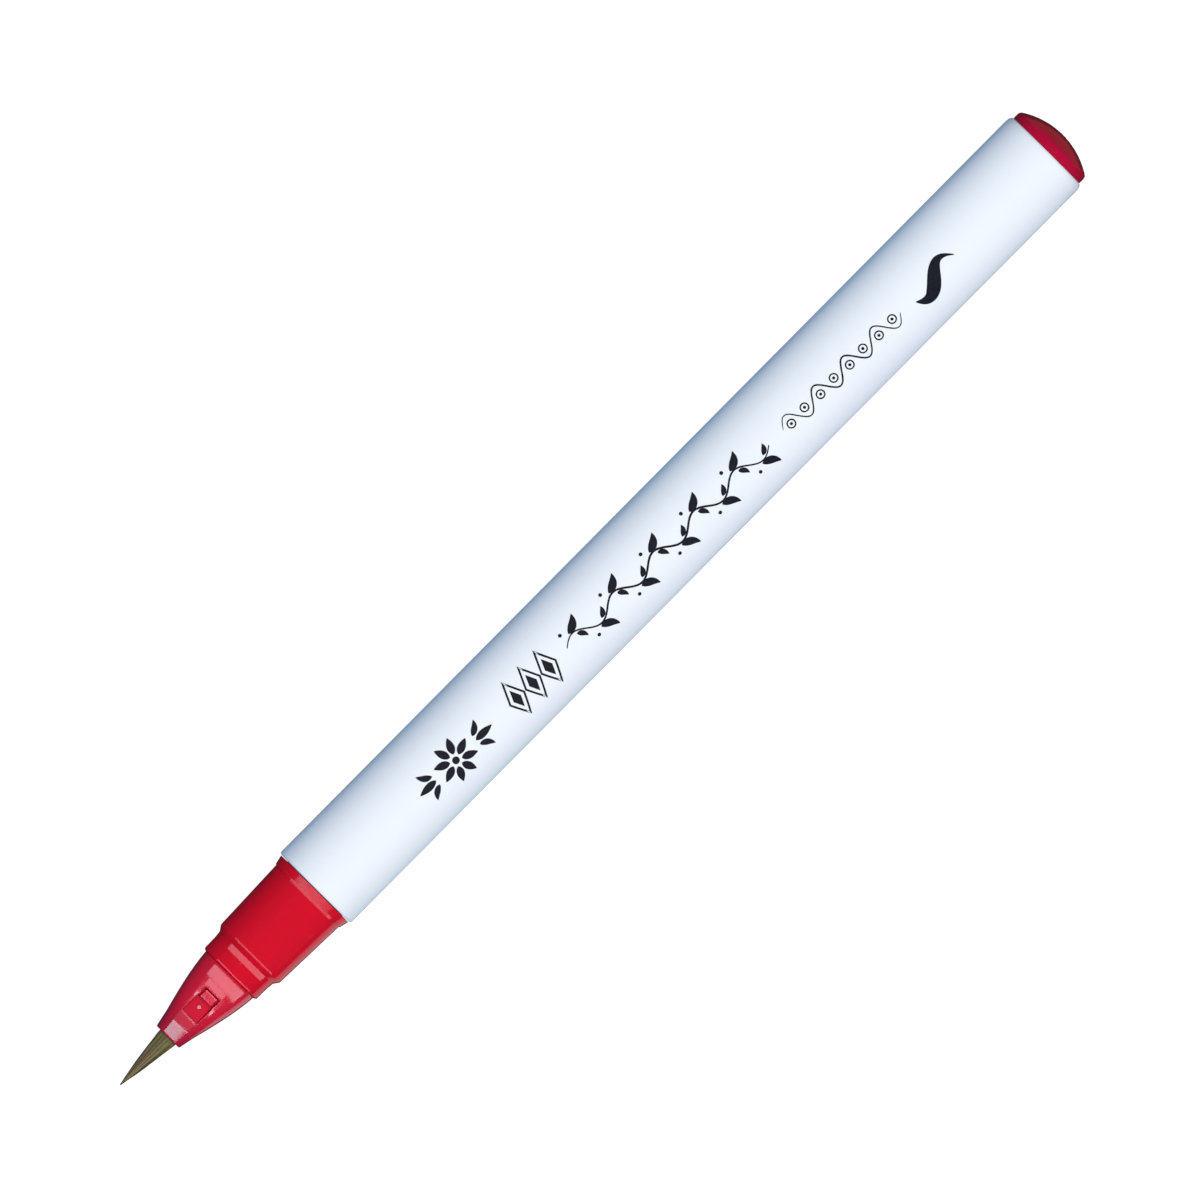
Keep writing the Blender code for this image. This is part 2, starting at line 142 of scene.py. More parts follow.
# Stations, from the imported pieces
TUFT_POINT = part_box("tuft")[0].x
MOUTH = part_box("nose_cone")[0].x
NOSE_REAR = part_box("nose_cone")[1].x
SECTION_FRONT = NOSE_REAR + SEAM_GAP
BARREL_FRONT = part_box("barrel")[0].x
BARREL_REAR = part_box("barrel")[1].x
SECTION_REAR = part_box("section")[1].x
PLUG_SEAT = BARREL_REAR + SEAM_GAP
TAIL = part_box("tail_plug")[1].x
AXIS_HEIGHT = (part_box("barrel")[0].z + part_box("barrel")[1].z) / 2
NOSE_LENGTH = NOSE_REAR - MOUTH
SOCKET_START = NOSE_LENGTH - SOCKET_DEPTH  # from the mouth
WINDOW_END = SOCKET_START - WINDOW_BRIDGE  # from the mouth
TUFT_LENGTH = MOUTH - TUFT_POINT

# How finely a turned piece is made
TURN_STEPS = 128
ROUNDING_STEPS = 4
EDGE_ROUND = 0.00006  # on moulded edges
SHORT_RUN = 0.0003  # a straight stretch shorter than this has no points right at its corners
MERGE = 1e-7
WINDOW_COLUMN = 8  # turned column that becomes a window's or a tab's side
WINDOW_RINGS = 14

AXIS = Vector((1.0, 0.0, 0.0))
TINY = 1e-6


# ---------------------------------------------------------------- settings


def colour_setting(name, description, default):
    return FloatVectorProperty(name=name, description=description, subtype="COLOR", default=default)


def length_setting(name, description, default):
    return FloatProperty(name=name, description=description, subtype="DISTANCE", default=default)


class BarrelSettings(bpy.types.PropertyGroup):
    white: colour_setting("White", "Colour of the barrel", (0.84, 0.86, 0.885))
    shade: colour_setting("Shade", "Colour of the barrel's cooler patches", (0.815, 0.84, 0.87))
    roughness: FloatProperty(
        name="Roughness", description="How matt the barrel is", subtype="FACTOR", default=0.42
    )
    front_edge: length_setting("Front edge", "Rounding of the barrel's front edge", 0.00025)
    rear_edge: length_setting("Rear edge", "How far the rear edge turns in", 0.00035)
    rear_edge_length: length_setting("Rear edge length", "Length of the turned-in edge", 0.00085)


class RedSettings(bpy.types.PropertyGroup):
    section: colour_setting("Section", "Colour of the section", (0.68, 0.0045, 0.021))
    section_shade: colour_setting("Section shade", "Darker patches of the section", (0.62, 0.003, 0.018))
    nose: colour_setting("Nose", "Colour of the translucent nose", (0.70, 0.013, 0.045))
    nose_shade: colour_setting("Nose shade", "Darker patches of the nose", (0.63, 0.009, 0.034))
    nose_mouth: colour_setting("Nose at its mouth", "Deeper colour near the mouth", (0.44, 0.009, 0.042))
    plug: colour_setting("Tail plug", "Colour of the tail plug", (0.48, 0.003, 0.038))
    plug_shade: colour_setting("Plug shade", "Darker patches of the tail plug", (0.40, 0.002, 0.028))


class TuftSettings(bpy.types.PropertyGroup):
    count: IntProperty(name="Bristles", description="Number of bristles", default=520)
    thickness: length_setting("Thickness", "A bristle's diameter at the mouth", 0.000105)
    light: colour_setting("Light bristle", "Colour of the lightest bristles", (0.335, 0.258, 0.116))
    # The dark colour is also what the painted shade on the tuft's sides and underside draws the bristles
    # towards.
    dark: colour_setting("Dark bristle", "Colour of the darkest bristles", (0.022, 0.015, 0.009))
    mouth_tint: colour_setting("Tint at the mouth", "Colour near the nose", (0.17, 0.18, 0.045))


class PrintSettings(bpy.types.PropertyGroup):
    ink: colour_setting("Ink", "Colour of the print", (0.006, 0.007, 0.012))
    turn: FloatProperty(
        name="Turn", description="Where the print's middle line runs round the barrel, from the top",
        subtype="ANGLE", default=math.radians(-7.8),
    )
    stem: length_setting("Stem", "Width of the thin strokes", 0.00024)


class StageSettings(bpy.types.PropertyGroup):
    ambient: colour_setting("Room light", "Colour of the light from all round", (0.30, 0.42, 0.58))
    mirrored: colour_setting("Mirrored room", "What glossy surfaces mirror", (0.02, 0.022, 0.025))
    key_colour: colour_setting("Key colour", "Colour of the main light", (1.0, 0.894, 0.767))
    key_power: FloatProperty(
        name="Key power", description="Power of the main light", unit="POWER", default=18.4
    )
    strips: FloatProperty(
        name="Strips", description="Brightness of the strip lights over the nose", default=4.6
    )


SETTINGS = {
    "barrel": BarrelSettings,
    "red": RedSettings,
    "tuft": TuftSettings,
    "print": PrintSettings,
    "stage": StageSettings,
}


def settings(group):
    return getattr(bpy.context.scene, "brush_pen_" + group)


# ---------------------------------------------------------------- turned shapes


def spaced(start, end, steps):
    return [start + (end - start) * i / steps for i in range(steps + 1)]


def arc(centre_x, centre_r, radius_x, radius_r, start, end, steps):
    """Points of (x, radius) round part of an ellipse, from angle start to end in degrees."""
    angles = [math.radians(angle) for angle in spaced(start, end, steps)]
    return [(centre_x + radius_x * math.cos(a), centre_r + radius_r * math.sin(a)) for a in angles]


def shifted(profile, station):
    return [(x + station, *rest) for x, *rest in profile]


def turned(profile, ring, steps=TURN_STEPS):
    """A bmesh of the profile turned about the pen's axis. A ring's profile is a closed loop."""
    shape = bmesh.new()
    corners = [shape.verts.new((point[0], 0.0, AXIS_HEIGHT + point[1])) for point in profile]
    pairs = list(zip(corners, corners[1:]))
    if ring:
        pairs.append((corners[-1], corners[0]))
    for pair in pairs:
        shape.edges.new(pair)
    roundings = [point[2] if len(point) > 2 else 0.0 for point in profile]
    for rounding in sorted(set(roundings) - {0.0}):
        alike = [corner for corner, own in zip(corners, roundings) if own == rounding]
        soften(shape, alike, rounding * EDGE_ROUND, ROUNDING_STEPS, "VERTICES")
    bmesh.ops.spin(
        shape,
        geom=shape.verts[:] + shape.edges[:],
        cent=(0.0, 0.0, AXIS_HEIGHT),
        axis=AXIS,
        angle=2 * math.pi,
        steps=steps,
        use_merge=True,
    )
    bmesh.ops.remove_doubles(shape, verts=shape.verts, dist=MERGE)
    bmesh.ops.recalc_face_normals(shape, faces=shape.faces)
    return shape


def finished_object(name, shape, material, sharp=35, weighted=True):
    """The object of a finished bmesh, at the origin, shaded smooth between its sharp edges."""
    mesh = bpy.data.meshes.new(name)
    shape.to_mesh(mesh)
    shape.free()
    mesh.shade_smooth()
    mesh.set_sharp_from_angle(angle=math.radians(sharp))
    mesh.materials.append(material)
    item = bpy.data.objects.new(name, mesh)
    bpy.context.scene.collection.objects.link(item)
    if weighted:
        modifier = item.modifiers.new("Weighted normals", "WEIGHTED_NORMAL")
        modifier.keep_sharp = True
    return item


def hand_over(item, node):
    """The piece stands for that node, whose imported mesh is hidden, and moves with the pen."""
    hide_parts(node)
    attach(item, "pen")


def nose_radius(distance):
    """The nose's outer radius at a distance behind its mouth: a plain cone, then an ogive."""
    if distance <= MOUTH_LENGTH:
        return MOUTH_RADIUS + MOUTH_SLOPE * distance
    length = NOSE_LENGTH - MOUTH_LENGTH
    t = (distance - MOUTH_LENGTH) / length
    front = MOUTH_RADIUS + MOUTH_SLOPE * MOUTH_LENGTH
    return (
        front * (1 - 3 * t**2 + 2 * t**3)
        + NOSE_REAR_RADIUS * (3 * t**2 - 2 * t**3)
        + length * NOSE_FRONT_SLOPE * t * (1 - t) ** 2
        - length * NOSE_REAR_SLOPE * t**2 * (1 - t)
    )


def run(*points):
    """The profile points of straight stretches, which shade straight for the points near
    their corners."""
    profile = [points[0]]
    for start, end in zip(points, points[1:]):
        shares = (0.03, 0.1, 0.35, 0.65, 0.9, 0.97)
        if math.dist(start[:2], end[:2]) < SHORT_RUN:
            shares = shares[1:-1]
        for share in shares:
            profile.append(tuple(a + (b - a) * share for a, b in zip(start[:2], end[:2])))
        profile.append(end)
    return profile


def bead(middle, radius):
    """A snap bead's or a snap groove's four profile points, in order along x."""
    half = BEAD_WIDTH / 2
    return [
        (middle - half - BEAD_HEIGHT, radius, 1),
        (middle - half, radius + BEAD_HEIGHT, 1),
        (middle + half, radius + BEAD_HEIGHT, 1),
        (middle + half + BEAD_HEIGHT, radius, 1),
    ]


def straighten_column(shape, half_width):
    """Slides the turned columns round, so that four of them run straight along the pen at
    half_width from its middle plane, and a window or a tab between them has straight sides."""
    quarter = math.pi / 2
    column = WINDOW_COLUMN * 2 * math.pi / TURN_STEPS
    for vert in shape.verts:
        y, z = vert.co.y, vert.co.z - AXIS_HEIGHT
        radius = math.hypot(y, z)
        turn = math.atan2(abs(y), abs(z))
        wanted = math.asin(min(half_width / radius, 0.8))
        if turn <= column:
            turn = turn * wanted / column
        else:
            turn = quarter - (quarter - turn) * (quarter - wanted) / (quarter - column)
        vert.co.y = math.copysign(radius * math.sin(turn), y)
        vert.co.z = AXIS_HEIGHT + math.copysign(radius * math.cos(turn), z)


def outside_radius(point):
    return math.hypot(point.y, point.z - AXIS_HEIGHT)


def faces_between(shape, start, end, half_width, least_radius=0.0):
    """Faces above and below the axis, between two stations and within half_width of the middle."""
    found = []
    for face in shape.faces:
        middle = face.calc_center_median()
        if start < middle.x < end and abs(middle.y) < half_width:
            if min(outside_radius(vert.co) for vert in face.verts) > least_radius:
                found.append(face)
    return found


def crisp_edges(shape, start, end, half_width, least_radius, angle=50):
    """Edges sharper than angle, in degrees, within the same kind of space."""
    return [
        edge
        for edge in shape.edges
        if edge.is_manifold
        and edge.calc_face_angle() > math.radians(angle)
        and all(start - TINY < vert.co.x < end + TINY for vert in edge.verts)
        and all(abs(vert.co.y) < half_width + TINY for vert in edge.verts)
        and all(outside_radius(vert.co) > least_radius for vert in edge.verts)
    ]


def soften(shape, geom, rounding, steps=3, affect="EDGES"):
    """Rounds edges, or the corners of a profile."""
    bmesh.ops.bevel(
        shape,
        geom=geom,
        offset=rounding,
        offset_type="OFFSET",
        segments=steps,
        profile=0.5,
        affect=affect,
        clamp_overlap=True,
        material=-1,
    )


# ---------------------------------------------------------------- node groups and materials


def filled(node, values):
    """The node with its inputs set or linked. A value is a number, three numbers or a socket."""
    for name, value in values.items():
        socket = node.inputs[name]
        if isinstance(value, bpy.types.NodeSocket):
            node.id_data.links.new(value, socket)
        else:
            socket.default_value = (*value, 1.0) if socket.type == "RGBA" else value
    return node


def added(tree, kind, values):
    """A new shader node of that kind, filled with those values."""
    return filled(tree.nodes.new("ShaderNode" + kind), values)


def noise(tree, where, scale, detail=2.0, stretch=None):
    """A noise's values. Stretch multiplies the pattern's frequency along x, y and z."""
    if stretch:
        where = added(tree, "Mapping", {"Vector": where, "Scale": stretch}).outputs["Vector"]
    texture = added(tree, "TexNoise", {"Vector": where, "Scale": scale, "Detail": detail})
    return texture.outputs["Fac"]


def maths(tree, operation, *values):
    """A Math node's result. A value is a number or a socket."""
    node = added(tree, "Math", dict(enumerate(values)))
    node.operation = operation
    return node.outputs["Value"]


def threshold(tree, value, low, high):
    """0 below low and 1 above high, smooth between."""
    node = added(tree, "MapRange", {"Value": value, "From Min": low, "From Max": high})
    node.interpolation_type = "SMOOTHSTEP"
    return node.outputs["Result"]


def mixed_colour(tree, factor, first, second):
    """A colour between two others. A colour is three numbers or a socket."""
    node = tree.nodes.new("ShaderNodeMix")
    node.data_type = "RGBA"
    return filled(node, {"Factor": factor, 6: first, 7: second}).outputs[2]


def bump(tree, height, microns):
    """The normal of a surface whose relief is that many microns deep."""
    values = {"Strength": 1.0, "Distance": microns * 1e-6, "Height": height}
    return added(tree, "Bump", values).outputs["Normal"]


def shader_group(name, inputs, outputs):
    """A new node group that takes coordinates and numbers and gives numbers."""
    group = bpy.data.node_groups.new(name, "ShaderNodeTree")
    group.interface.new_socket(name="Coordinates", in_out="INPUT", socket_type="NodeSocketVector")
    for label, default in inputs.items():
        socket = group.interface.new_socket(name=label, in_out="INPUT", socket_type="NodeSocketFloat")
        socket.default_value = default
    for label in outputs:
        group.interface.new_socket(name=label, in_out="OUTPUT", socket_type="NodeSocketFloat")
    return group, group.nodes.new("NodeGroupInput").outputs, group.nodes.new("NodeGroupOutput")


def moulded_skin_group():
    """Moulded plastic's skin: a fine grain, a slow drift in gloss and hairline scuffs."""
    group, given, result = shader_group(
        "Moulded skin",
        {"Grain scale": 5000.0, "Roughness": 0.3, "Gloss drift": 0.05, "Scuffs": 0.1},
        ("Height", "Roughness", "Drift"),
    )
    where = given["Coordinates"]
    grain = noise(group, where, given["Grain scale"], 3.0)
    drift = noise(group, where, 160.0, 2.0, (0.4, 1.0, 1.0))
    hairlines = threshold(group, noise(group, where, 3200.0, 1.0, (0.03, 1.0, 1.0)), 0.66, 0.72)
    worn = threshold(group, noise(group, where, 240.0, 1.0), 0.5, 0.65)
    scuffs = maths(group, "MULTIPLY", maths(group, "MULTIPLY", hairlines, worn), given["Scuffs"])
    centred = maths(group, "SUBTRACT", drift, 0.5)
    drifted = maths(group, "MULTIPLY_ADD", centred, given["Gloss drift"], given["Roughness"])
    roughness = maths(group, "ADD", drifted, scuffs)
    height = maths(group, "SUBTRACT", grain, scuffs)
    filled(result, {"Height": height, "Roughness": roughness, "Drift": drift})
    return group


def fibre_streaks_group():
    """Streaks that run along the pen, as in a fibre rod or a bundle of bristles."""
    group, given, result = shader_group("Fibre streaks", {"Streak scale": 6000.0}, ("Streak", "Height"))
    where = given["Coordinates"]
    fine = noise(group, where, given["Streak scale"], 3.0, (0.04, 1.0, 1.0))
    broad = noise(group, where, 900.0, 2.0, (0.08, 1.0, 1.0))
    streak = threshold(group, maths(group, "ADD", fine, broad), 0.75, 1.25)
    filled(result, {"Streak": streak, "Height": fine})
    return group


def placed_group(tree, name, maker, values):
    """The outputs of a shared group, made at its first use, with this material's values."""
    node = tree.nodes.new("ShaderNodeGroup")
    node.node_tree = bpy.data.node_groups.get(name) or maker()
    return filled(node, values).outputs


def new_material(name):
    """A new material, its node tree, its shader and its object coordinates."""
    material = bpy.data.materials.new(name)
    material.use_nodes = True
    tree = material.node_tree
    where = tree.nodes.new("ShaderNodeTexCoord").outputs["Object"]
    return material, tree, tree.nodes["Principled BSDF"], where


def moulded_plastic(name, colour, shade, roughness, microns, drift, scuffs, look):
    """Moulded plastic with its own colour and grain. Look is more of the shader's inputs."""
    material, tree, shader, where = new_material(name)
    own = {"Coordinates": where, "Roughness": roughness, "Gloss drift": drift, "Scuffs": scuffs}
    skin = placed_group(tree, "Moulded skin", moulded_skin_group, own)
    tint = mixed_colour(tree, skin["Drift"], shade, colour)
    relief = bump(tree, skin["Height"], microns)
    filled(shader, {"Base Color": tint, "Roughness": skin["Roughness"], "Normal": relief})
    filled(shader, {"IOR": 1.49, **look})
    return material


def let_in(weight, scale, radius):
    """The shader inputs that let light a little way into a material."""
    return {"Subsurface Weight": weight, "Subsurface Scale": scale, "Subsurface Radius": radius}


def barrel_material():
    own = settings("barrel")
    look = {"Specular IOR Level": 0.35, **let_in(0.08, 0.0008, (1.0, 1.0, 1.0))}
    return moulded_plastic("barrel_white", own.white, own.shade, own.roughness, 1.2, 0.08, 0.08, look)


def section_material():
    own = settings("red")
    look = let_in(0.06, 0.0006, (1.0, 0.15, 0.1))
    return moulded_plastic("section_red", own.section, own.section_shade, 0.12, 0.4, 0.04, 0.12, look)


def plug_material():
    own = settings("red")
    look = let_in(0.1, 0.0006, (1.0, 0.1, 0.1))
    return moulded_plastic("plug_red", own.plug, own.plug_shade, 0.14, 0.8, 0.05, 0.12, look)


def nose_material(name):
    """Glossy red that is deeper near the nose's mouth."""
    own = settings("red")
    look = {"Specular IOR Level": 0.2, "Coat Weight": 1.0, "Coat Roughness": 0.05}
    look.update(let_in(0.25, 0.0009, (1.0, 0.2, 0.2)))
    material = moulded_plastic(name, own.nose, own.nose_shade, 0.16, 0.2, 0.05, 0.08, look)
    tree = material.node_tree
    shader = tree.nodes["Principled BSDF"]
    where = tree.nodes.new("ShaderNodeTexCoord").outputs["Object"]
    along = added(tree, "SeparateXYZ", {"Vector": where}).outputs["X"]
    behind = threshold(tree, along, MOUTH, MOUTH + NOSE_LENGTH / 2)
    even = shader.inputs["Base Color"].links[0].from_socket
    filled(shader, {"Base Color": mixed_colour(tree, behind, own.nose_mouth, even)})
    return material


def fibre_material(name, light, dark, roughness, scale, microns):
    """A rod of bonded fibres."""
    material, tree, shader, where = new_material(name)
    own = {"Coordinates": where, "Streak scale": scale}
    streaks = placed_group(tree, "Fibre streaks", fibre_streaks_group, own)
    tint = mixed_colour(tree, streaks["Streak"], dark, light)
    relief = bump(tree, streaks["Height"], microns)
    filled(shader, {"Base Color": tint, "Roughness": roughness, "Normal": relief})
    return material


def ink_material():
    """Screen-printed ink: near black, a little uneven in its cover."""
    material, tree, shader, where = new_material("print_black")
    ink = settings("print").ink
    thin = [channel * 2.0 for channel in ink]
    speckle = noise(tree, where, 7000.0, 3.0)
    tint = mixed_colour(tree, threshold(tree, speckle, 0.35, 0.65), ink, thin)
    gloss = maths(tree, "MULTIPLY_ADD", speckle, 0.2, 0.3)
    filled(shader, {"Base Color": tint, "Roughness": gloss, "Specular IOR Level": 0.25})
    filled(shader, {"Normal": bump(tree, speckle, 1.0)})
    return material


def attribute(tree, name):
    """What a piece's points hold under that name."""
    node = tree.nodes.new("ShaderNodeAttribute")
    node.attribute_name = name
    return node.outputs["Fac"]


def bristle_material():
    """Brown bristles, each in its own tint, with painted shade that darkens the tuft's sides and
    underside, going olive where they leave the nose.
    """
    material, tree, shader, where = new_material("bristle_brown")
    own = settings("tuft")
    # Each bristle's random tone times a painted shade that darkens the tuft's sides and underside.
    shade = attribute(tree, "bristle_tint_and_shade")
    brown = mixed_colour(tree, shade, own.dark, own.light)
    near_mouth = threshold(tree, attribute(tree, "bristle_along"), 0.55, 1.0)
    patches = noise(tree, where, 1500.0, 1.0, (0.3, 1.0, 1.0))
    tint = mixed_colour(tree, maths(tree, "MULTIPLY", near_mouth, patches), brown, own.mouth_tint)
    gloss = maths(tree, "MULTIPLY_ADD", shade, 0.15, 0.42)
    filled(shader, {"Base Color": tint, "Roughness": gloss, "Specular IOR Level": 0.3})
    return material


def film_material():
    """Thin clear film with a faint haze."""
    material, tree, shader, where = new_material("film_clear")
    haze = noise(tree, where, 500.0, 2.0, (0.3, 1.0, 1.0))
    tint = mixed_colour(tree, haze, (0.80, 0.82, 0.85), (0.90, 0.91, 0.93))
    gloss = maths(tree, "MULTIPLY_ADD", haze, 0.12, 0.06)
    filled(shader, {"Base Color": tint, "Roughness": gloss, "Alpha": 0.25})
    return material


# ---------------------------------------------------------------- pieces


class BRUSHPEN_OT_build_barrel(bpy.types.Operator):
    """Build the white barrel, open at both ends, with a snap groove near each"""

    bl_idname = "brushpen.build_barrel"
    bl_label = "Barrel"

    def execute(self, context):
        own = settings("barrel")
        front_edge = arc(
            BARREL_FRONT + own.front_edge, BARREL_RADIUS - own.front_edge,
            own.front_edge, own.front_edge, 180, 90, 8,
        )
        rear_edge = arc(
            BARREL_REAR - own.rear_edge_length, BARREL_RADIUS - own.rear_edge,
            own.rear_edge_length, own.rear_edge, 90, 0, 10,
        )
        stretch = [(x, BARREL_RADIUS) for x in spaced(front_edge[-1][0], rear_edge[0][0], 24)[1:-1]]
        bore = [
            (BARREL_REAR, BORE_RADIUS, 1),
            *reversed(bead(BARREL_REAR - BEAD_SETBACK, BORE_RADIUS)),
            *reversed(bead(BARREL_FRONT + BEAD_SETBACK, BORE_RADIUS)),
            (BARREL_FRONT, BORE_RADIUS, 1),
        ]
        shape = turned(front_edge + stretch + rear_edge + bore, ring=True)
        hand_over(finished_object("barrel_tube", shape, barrel_material()), "barrel")
        return {"FINISHED"}


class BRUSHPEN_OT_build_tail_plug(bpy.types.Operator):
    """Build the domed tail plug with its hollow spigot"""

    bl_idname = "brushpen.build_tail_plug"
    bl_label = "Tail plug"

    def execute(self, context):
        dome_radius = PLUG_RADIUS - PLUG_LIP_ROUND
        lip_start = PLUG_SEAT - SEAM_GAP + PLUG_SEAM
        lip_end = PLUG_SEAT + PLUG_LIP
        height = TAIL - lip_end
        sphere = (height**2 + dome_radius**2 - PLUG_LIP_ROUND**2) / (2 * (height - PLUG_LIP_ROUND))
        span = math.degrees(math.atan2(dome_radius, sphere - height))
        dome = arc(TAIL - sphere, 0.0, sphere, sphere, span, 0, 28)
        dome[-1] = (TAIL, 0.0)
        lip = arc(lip_end, dome_radius, PLUG_LIP_ROUND, PLUG_LIP_ROUND, 90, span, 10)
        spigot_end = PLUG_SEAT - PLUG_SPIGOT_LENGTH
        inner = SPIGOT_RADIUS - PLUG_WALL
        profile = [
            (PLUG_SEAT - PLUG_WALL, 0.0),
            (PLUG_SEAT - PLUG_WALL, inner, 4),
            (spigot_end, inner, 1),
            (spigot_end, SPIGOT_RADIUS - LEAD_IN, 1),
            (spigot_end + LEAD_IN, SPIGOT_RADIUS, 1),
            *bead(PLUG_SEAT - SEAM_GAP - BEAD_SETBACK, SPIGOT_RADIUS),
            (lip_start, SPIGOT_RADIUS, 0.5),
            (lip_start, PLUG_RADIUS, 1),
        ]
        shape = turned(profile + lip + dome[1:], ring=False)
        item = finished_object("tail_plug_dome", shape, plug_material())
        hand_over(item, "tail_plug")
        return {"FINISHED"}


class BRUSHPEN_OT_build_section(bpy.types.Operator):
    """Build the red section: land, step, neck and collar, with a spigot each way"""

    bl_idname = "brushpen.build_section"
    bl_label = "Section"

    edge_length = 0.00015  # of the slight bevels that start the land, the neck and the collar
    edge_rise = 0.00002

    def execute(self, context):
        nose_spigot_radius = nose_radius(SOCKET_START) - NOSE_WALL - FIT_GAP
        nose_spigot = -(SOCKET_DEPTH + SEAM_GAP)
        neck_front = LAND_LENGTH + STEP_LENGTH
        neck_rear = neck_front + NECK_LENGTH
        collar_end = neck_rear + COLLAR_LENGTH
        collar_seat = collar_end + SEAM_GAP - COLLAR_SEAM
        spigot_end = SECTION_REAR - SECTION_FRONT
        cavity_radius = SPIGOT_RADIUS - SPIGOT_WALL
        outside = [
            (nose_spigot, GUIDE_BORE, 1),
            (nose_spigot, nose_spigot_radius - LEAD_IN, 1),
            (nose_spigot + LEAD_IN, nose_spigot_radius, 1),
            (0.0, nose_spigot_radius),
            (0.0, LAND_RADIUS - LAND_CHAMFER, 1),
            *run(
                (LAND_CHAMFER_LENGTH, LAND_RADIUS - self.edge_rise, 0.5),
                (LAND_CHAMFER_LENGTH + self.edge_length, LAND_RADIUS, 0.25),
                (LAND_LENGTH - BAND_LENGTH, LAND_RADIUS + LAND_DRAFT, 0.25),
                (LAND_LENGTH, BAND_RADIUS, 0.25),
            ),
            *run(
                (neck_front - self.edge_length, NECK_FRONT_RADIUS - self.edge_rise, 0.5),
                (neck_front, NECK_FRONT_RADIUS, 0.25),
                (neck_rear, NECK_REAR_RADIUS, 0.5),
            ),
            *run(
                (neck_rear, COLLAR_FRONT_RADIUS, 0.5),
                (neck_rear + self.edge_length, COLLAR_FRONT_RADIUS + self.edge_rise, 0.25),
                (collar_seat, COLLAR_RADIUS, 0.5),
            ),
            (collar_seat, SPIGOT_RADIUS, 0.5),
            *bead(collar_end + SEAM_GAP + BEAD_SETBACK, SPIGOT_RADIUS),
            (spigot_end - LEAD_IN, SPIGOT_RADIUS, 1),
            (spigot_end, SPIGOT_RADIUS - LEAD_IN, 1),
            (spigot_end, cavity_radius, 1),
        ]
        cavity_front_radius = min(LAND_RADIUS - SECTION_WALL, cavity_radius)
        inside = [
            (neck_front + SECTION_WALL, cavity_radius, 2),
            (neck_front, cavity_front_radius, 2),
            (SECTION_FRONT_WALL, cavity_front_radius, 2),
            (SECTION_FRONT_WALL, GUIDE_RADIUS, 2),
            (spigot_end - GUIDE_BACK, GUIDE_RADIUS, 1),
            (spigot_end - GUIDE_BACK, GUIDE_BORE, 1),
        ]
        shape = turned(shifted(outside + inside, SECTION_FRONT), ring=True)
        item = finished_object("section_body", shape, section_material())
        hand_over(item, "section")
        return {"FINISHED"}


class BRUSHPEN_OT_build_nose(bpy.types.Operator):
    """Build the nose cone, with a latch window through its wall at the top and the bottom"""

    bl_idname = "brushpen.build_nose"
    bl_label = "Nose cone"

    def execute(self, context):
        socket_radius = nose_radius(SOCKET_START) - NOSE_WALL
        window = spaced(WINDOW_START, WINDOW_END, WINDOW_RINGS)
        cone = spaced(0.0, MOUTH_LENGTH, 10)[1:-1]
        before = spaced(MOUTH_LENGTH, WINDOW_START, 5)
        behind = spaced(WINDOW_END, NOSE_LENGTH, 10)
        rear = NOSE_LENGTH + SEAM_GAP - NOSE_SEAM
        outside = [
            (0.0, MOUTH_BORE, 1),
            (0.0, MOUTH_RADIUS, 2),
            *[(x, nose_radius(x)) for x in cone + before + window[1:] + behind[1:]],
            (rear, NOSE_REAR_RADIUS, 1 / 3),
        ]
        lining = [SOCKET_START, *reversed(window), *reversed(before[:-1])]
        inside = [
            (rear, socket_radius, 1),
            *[(x, nose_radius(x) - NOSE_WALL) for x in lining],
            (SHOULDER_DEPTH, MOUTH_BORE, 1),
        ]
        shape = turned(shifted(outside + inside, MOUTH), ring=True)
        half = WINDOW_WIDTH / 2
        straighten_column(shape, half)
        start, end = MOUTH + WINDOW_START, MOUTH + WINDOW_END
        bmesh.ops.delete(shape, geom=faces_between(shape, start, end, half), context="FACES")
        for side in (-1, 1):
            rims = [
                edge
                for edge in shape.edges
                if edge.is_boundary and side * (edge.verts[0].co.z - AXIS_HEIGHT) > 0
            ]
            bmesh.ops.bridge_loops(shape, edges=rims)
        bmesh.ops.recalc_face_normals(shape, faces=shape.faces)
        inner = nose_radius(WINDOW_START) - NOSE_WALL - EDGE_ROUND
        corners = [
            edge
            for edge in crisp_edges(shape, start, end, half, inner)
            if abs(outside_radius(edge.verts[0].co) - outside_radius(edge.verts[1].co)) > NOSE_WALL / 2
        ]
        soften(shape, corners, 2 * EDGE_ROUND, 4)
        soften(shape, crisp_edges(shape, start, end, half, inner), EDGE_ROUND)
        item = finished_object("nose_cone_shell", shape, nose_material("nose_red"))
        hand_over(item, "nose_cone")
        return {"FINISHED"}


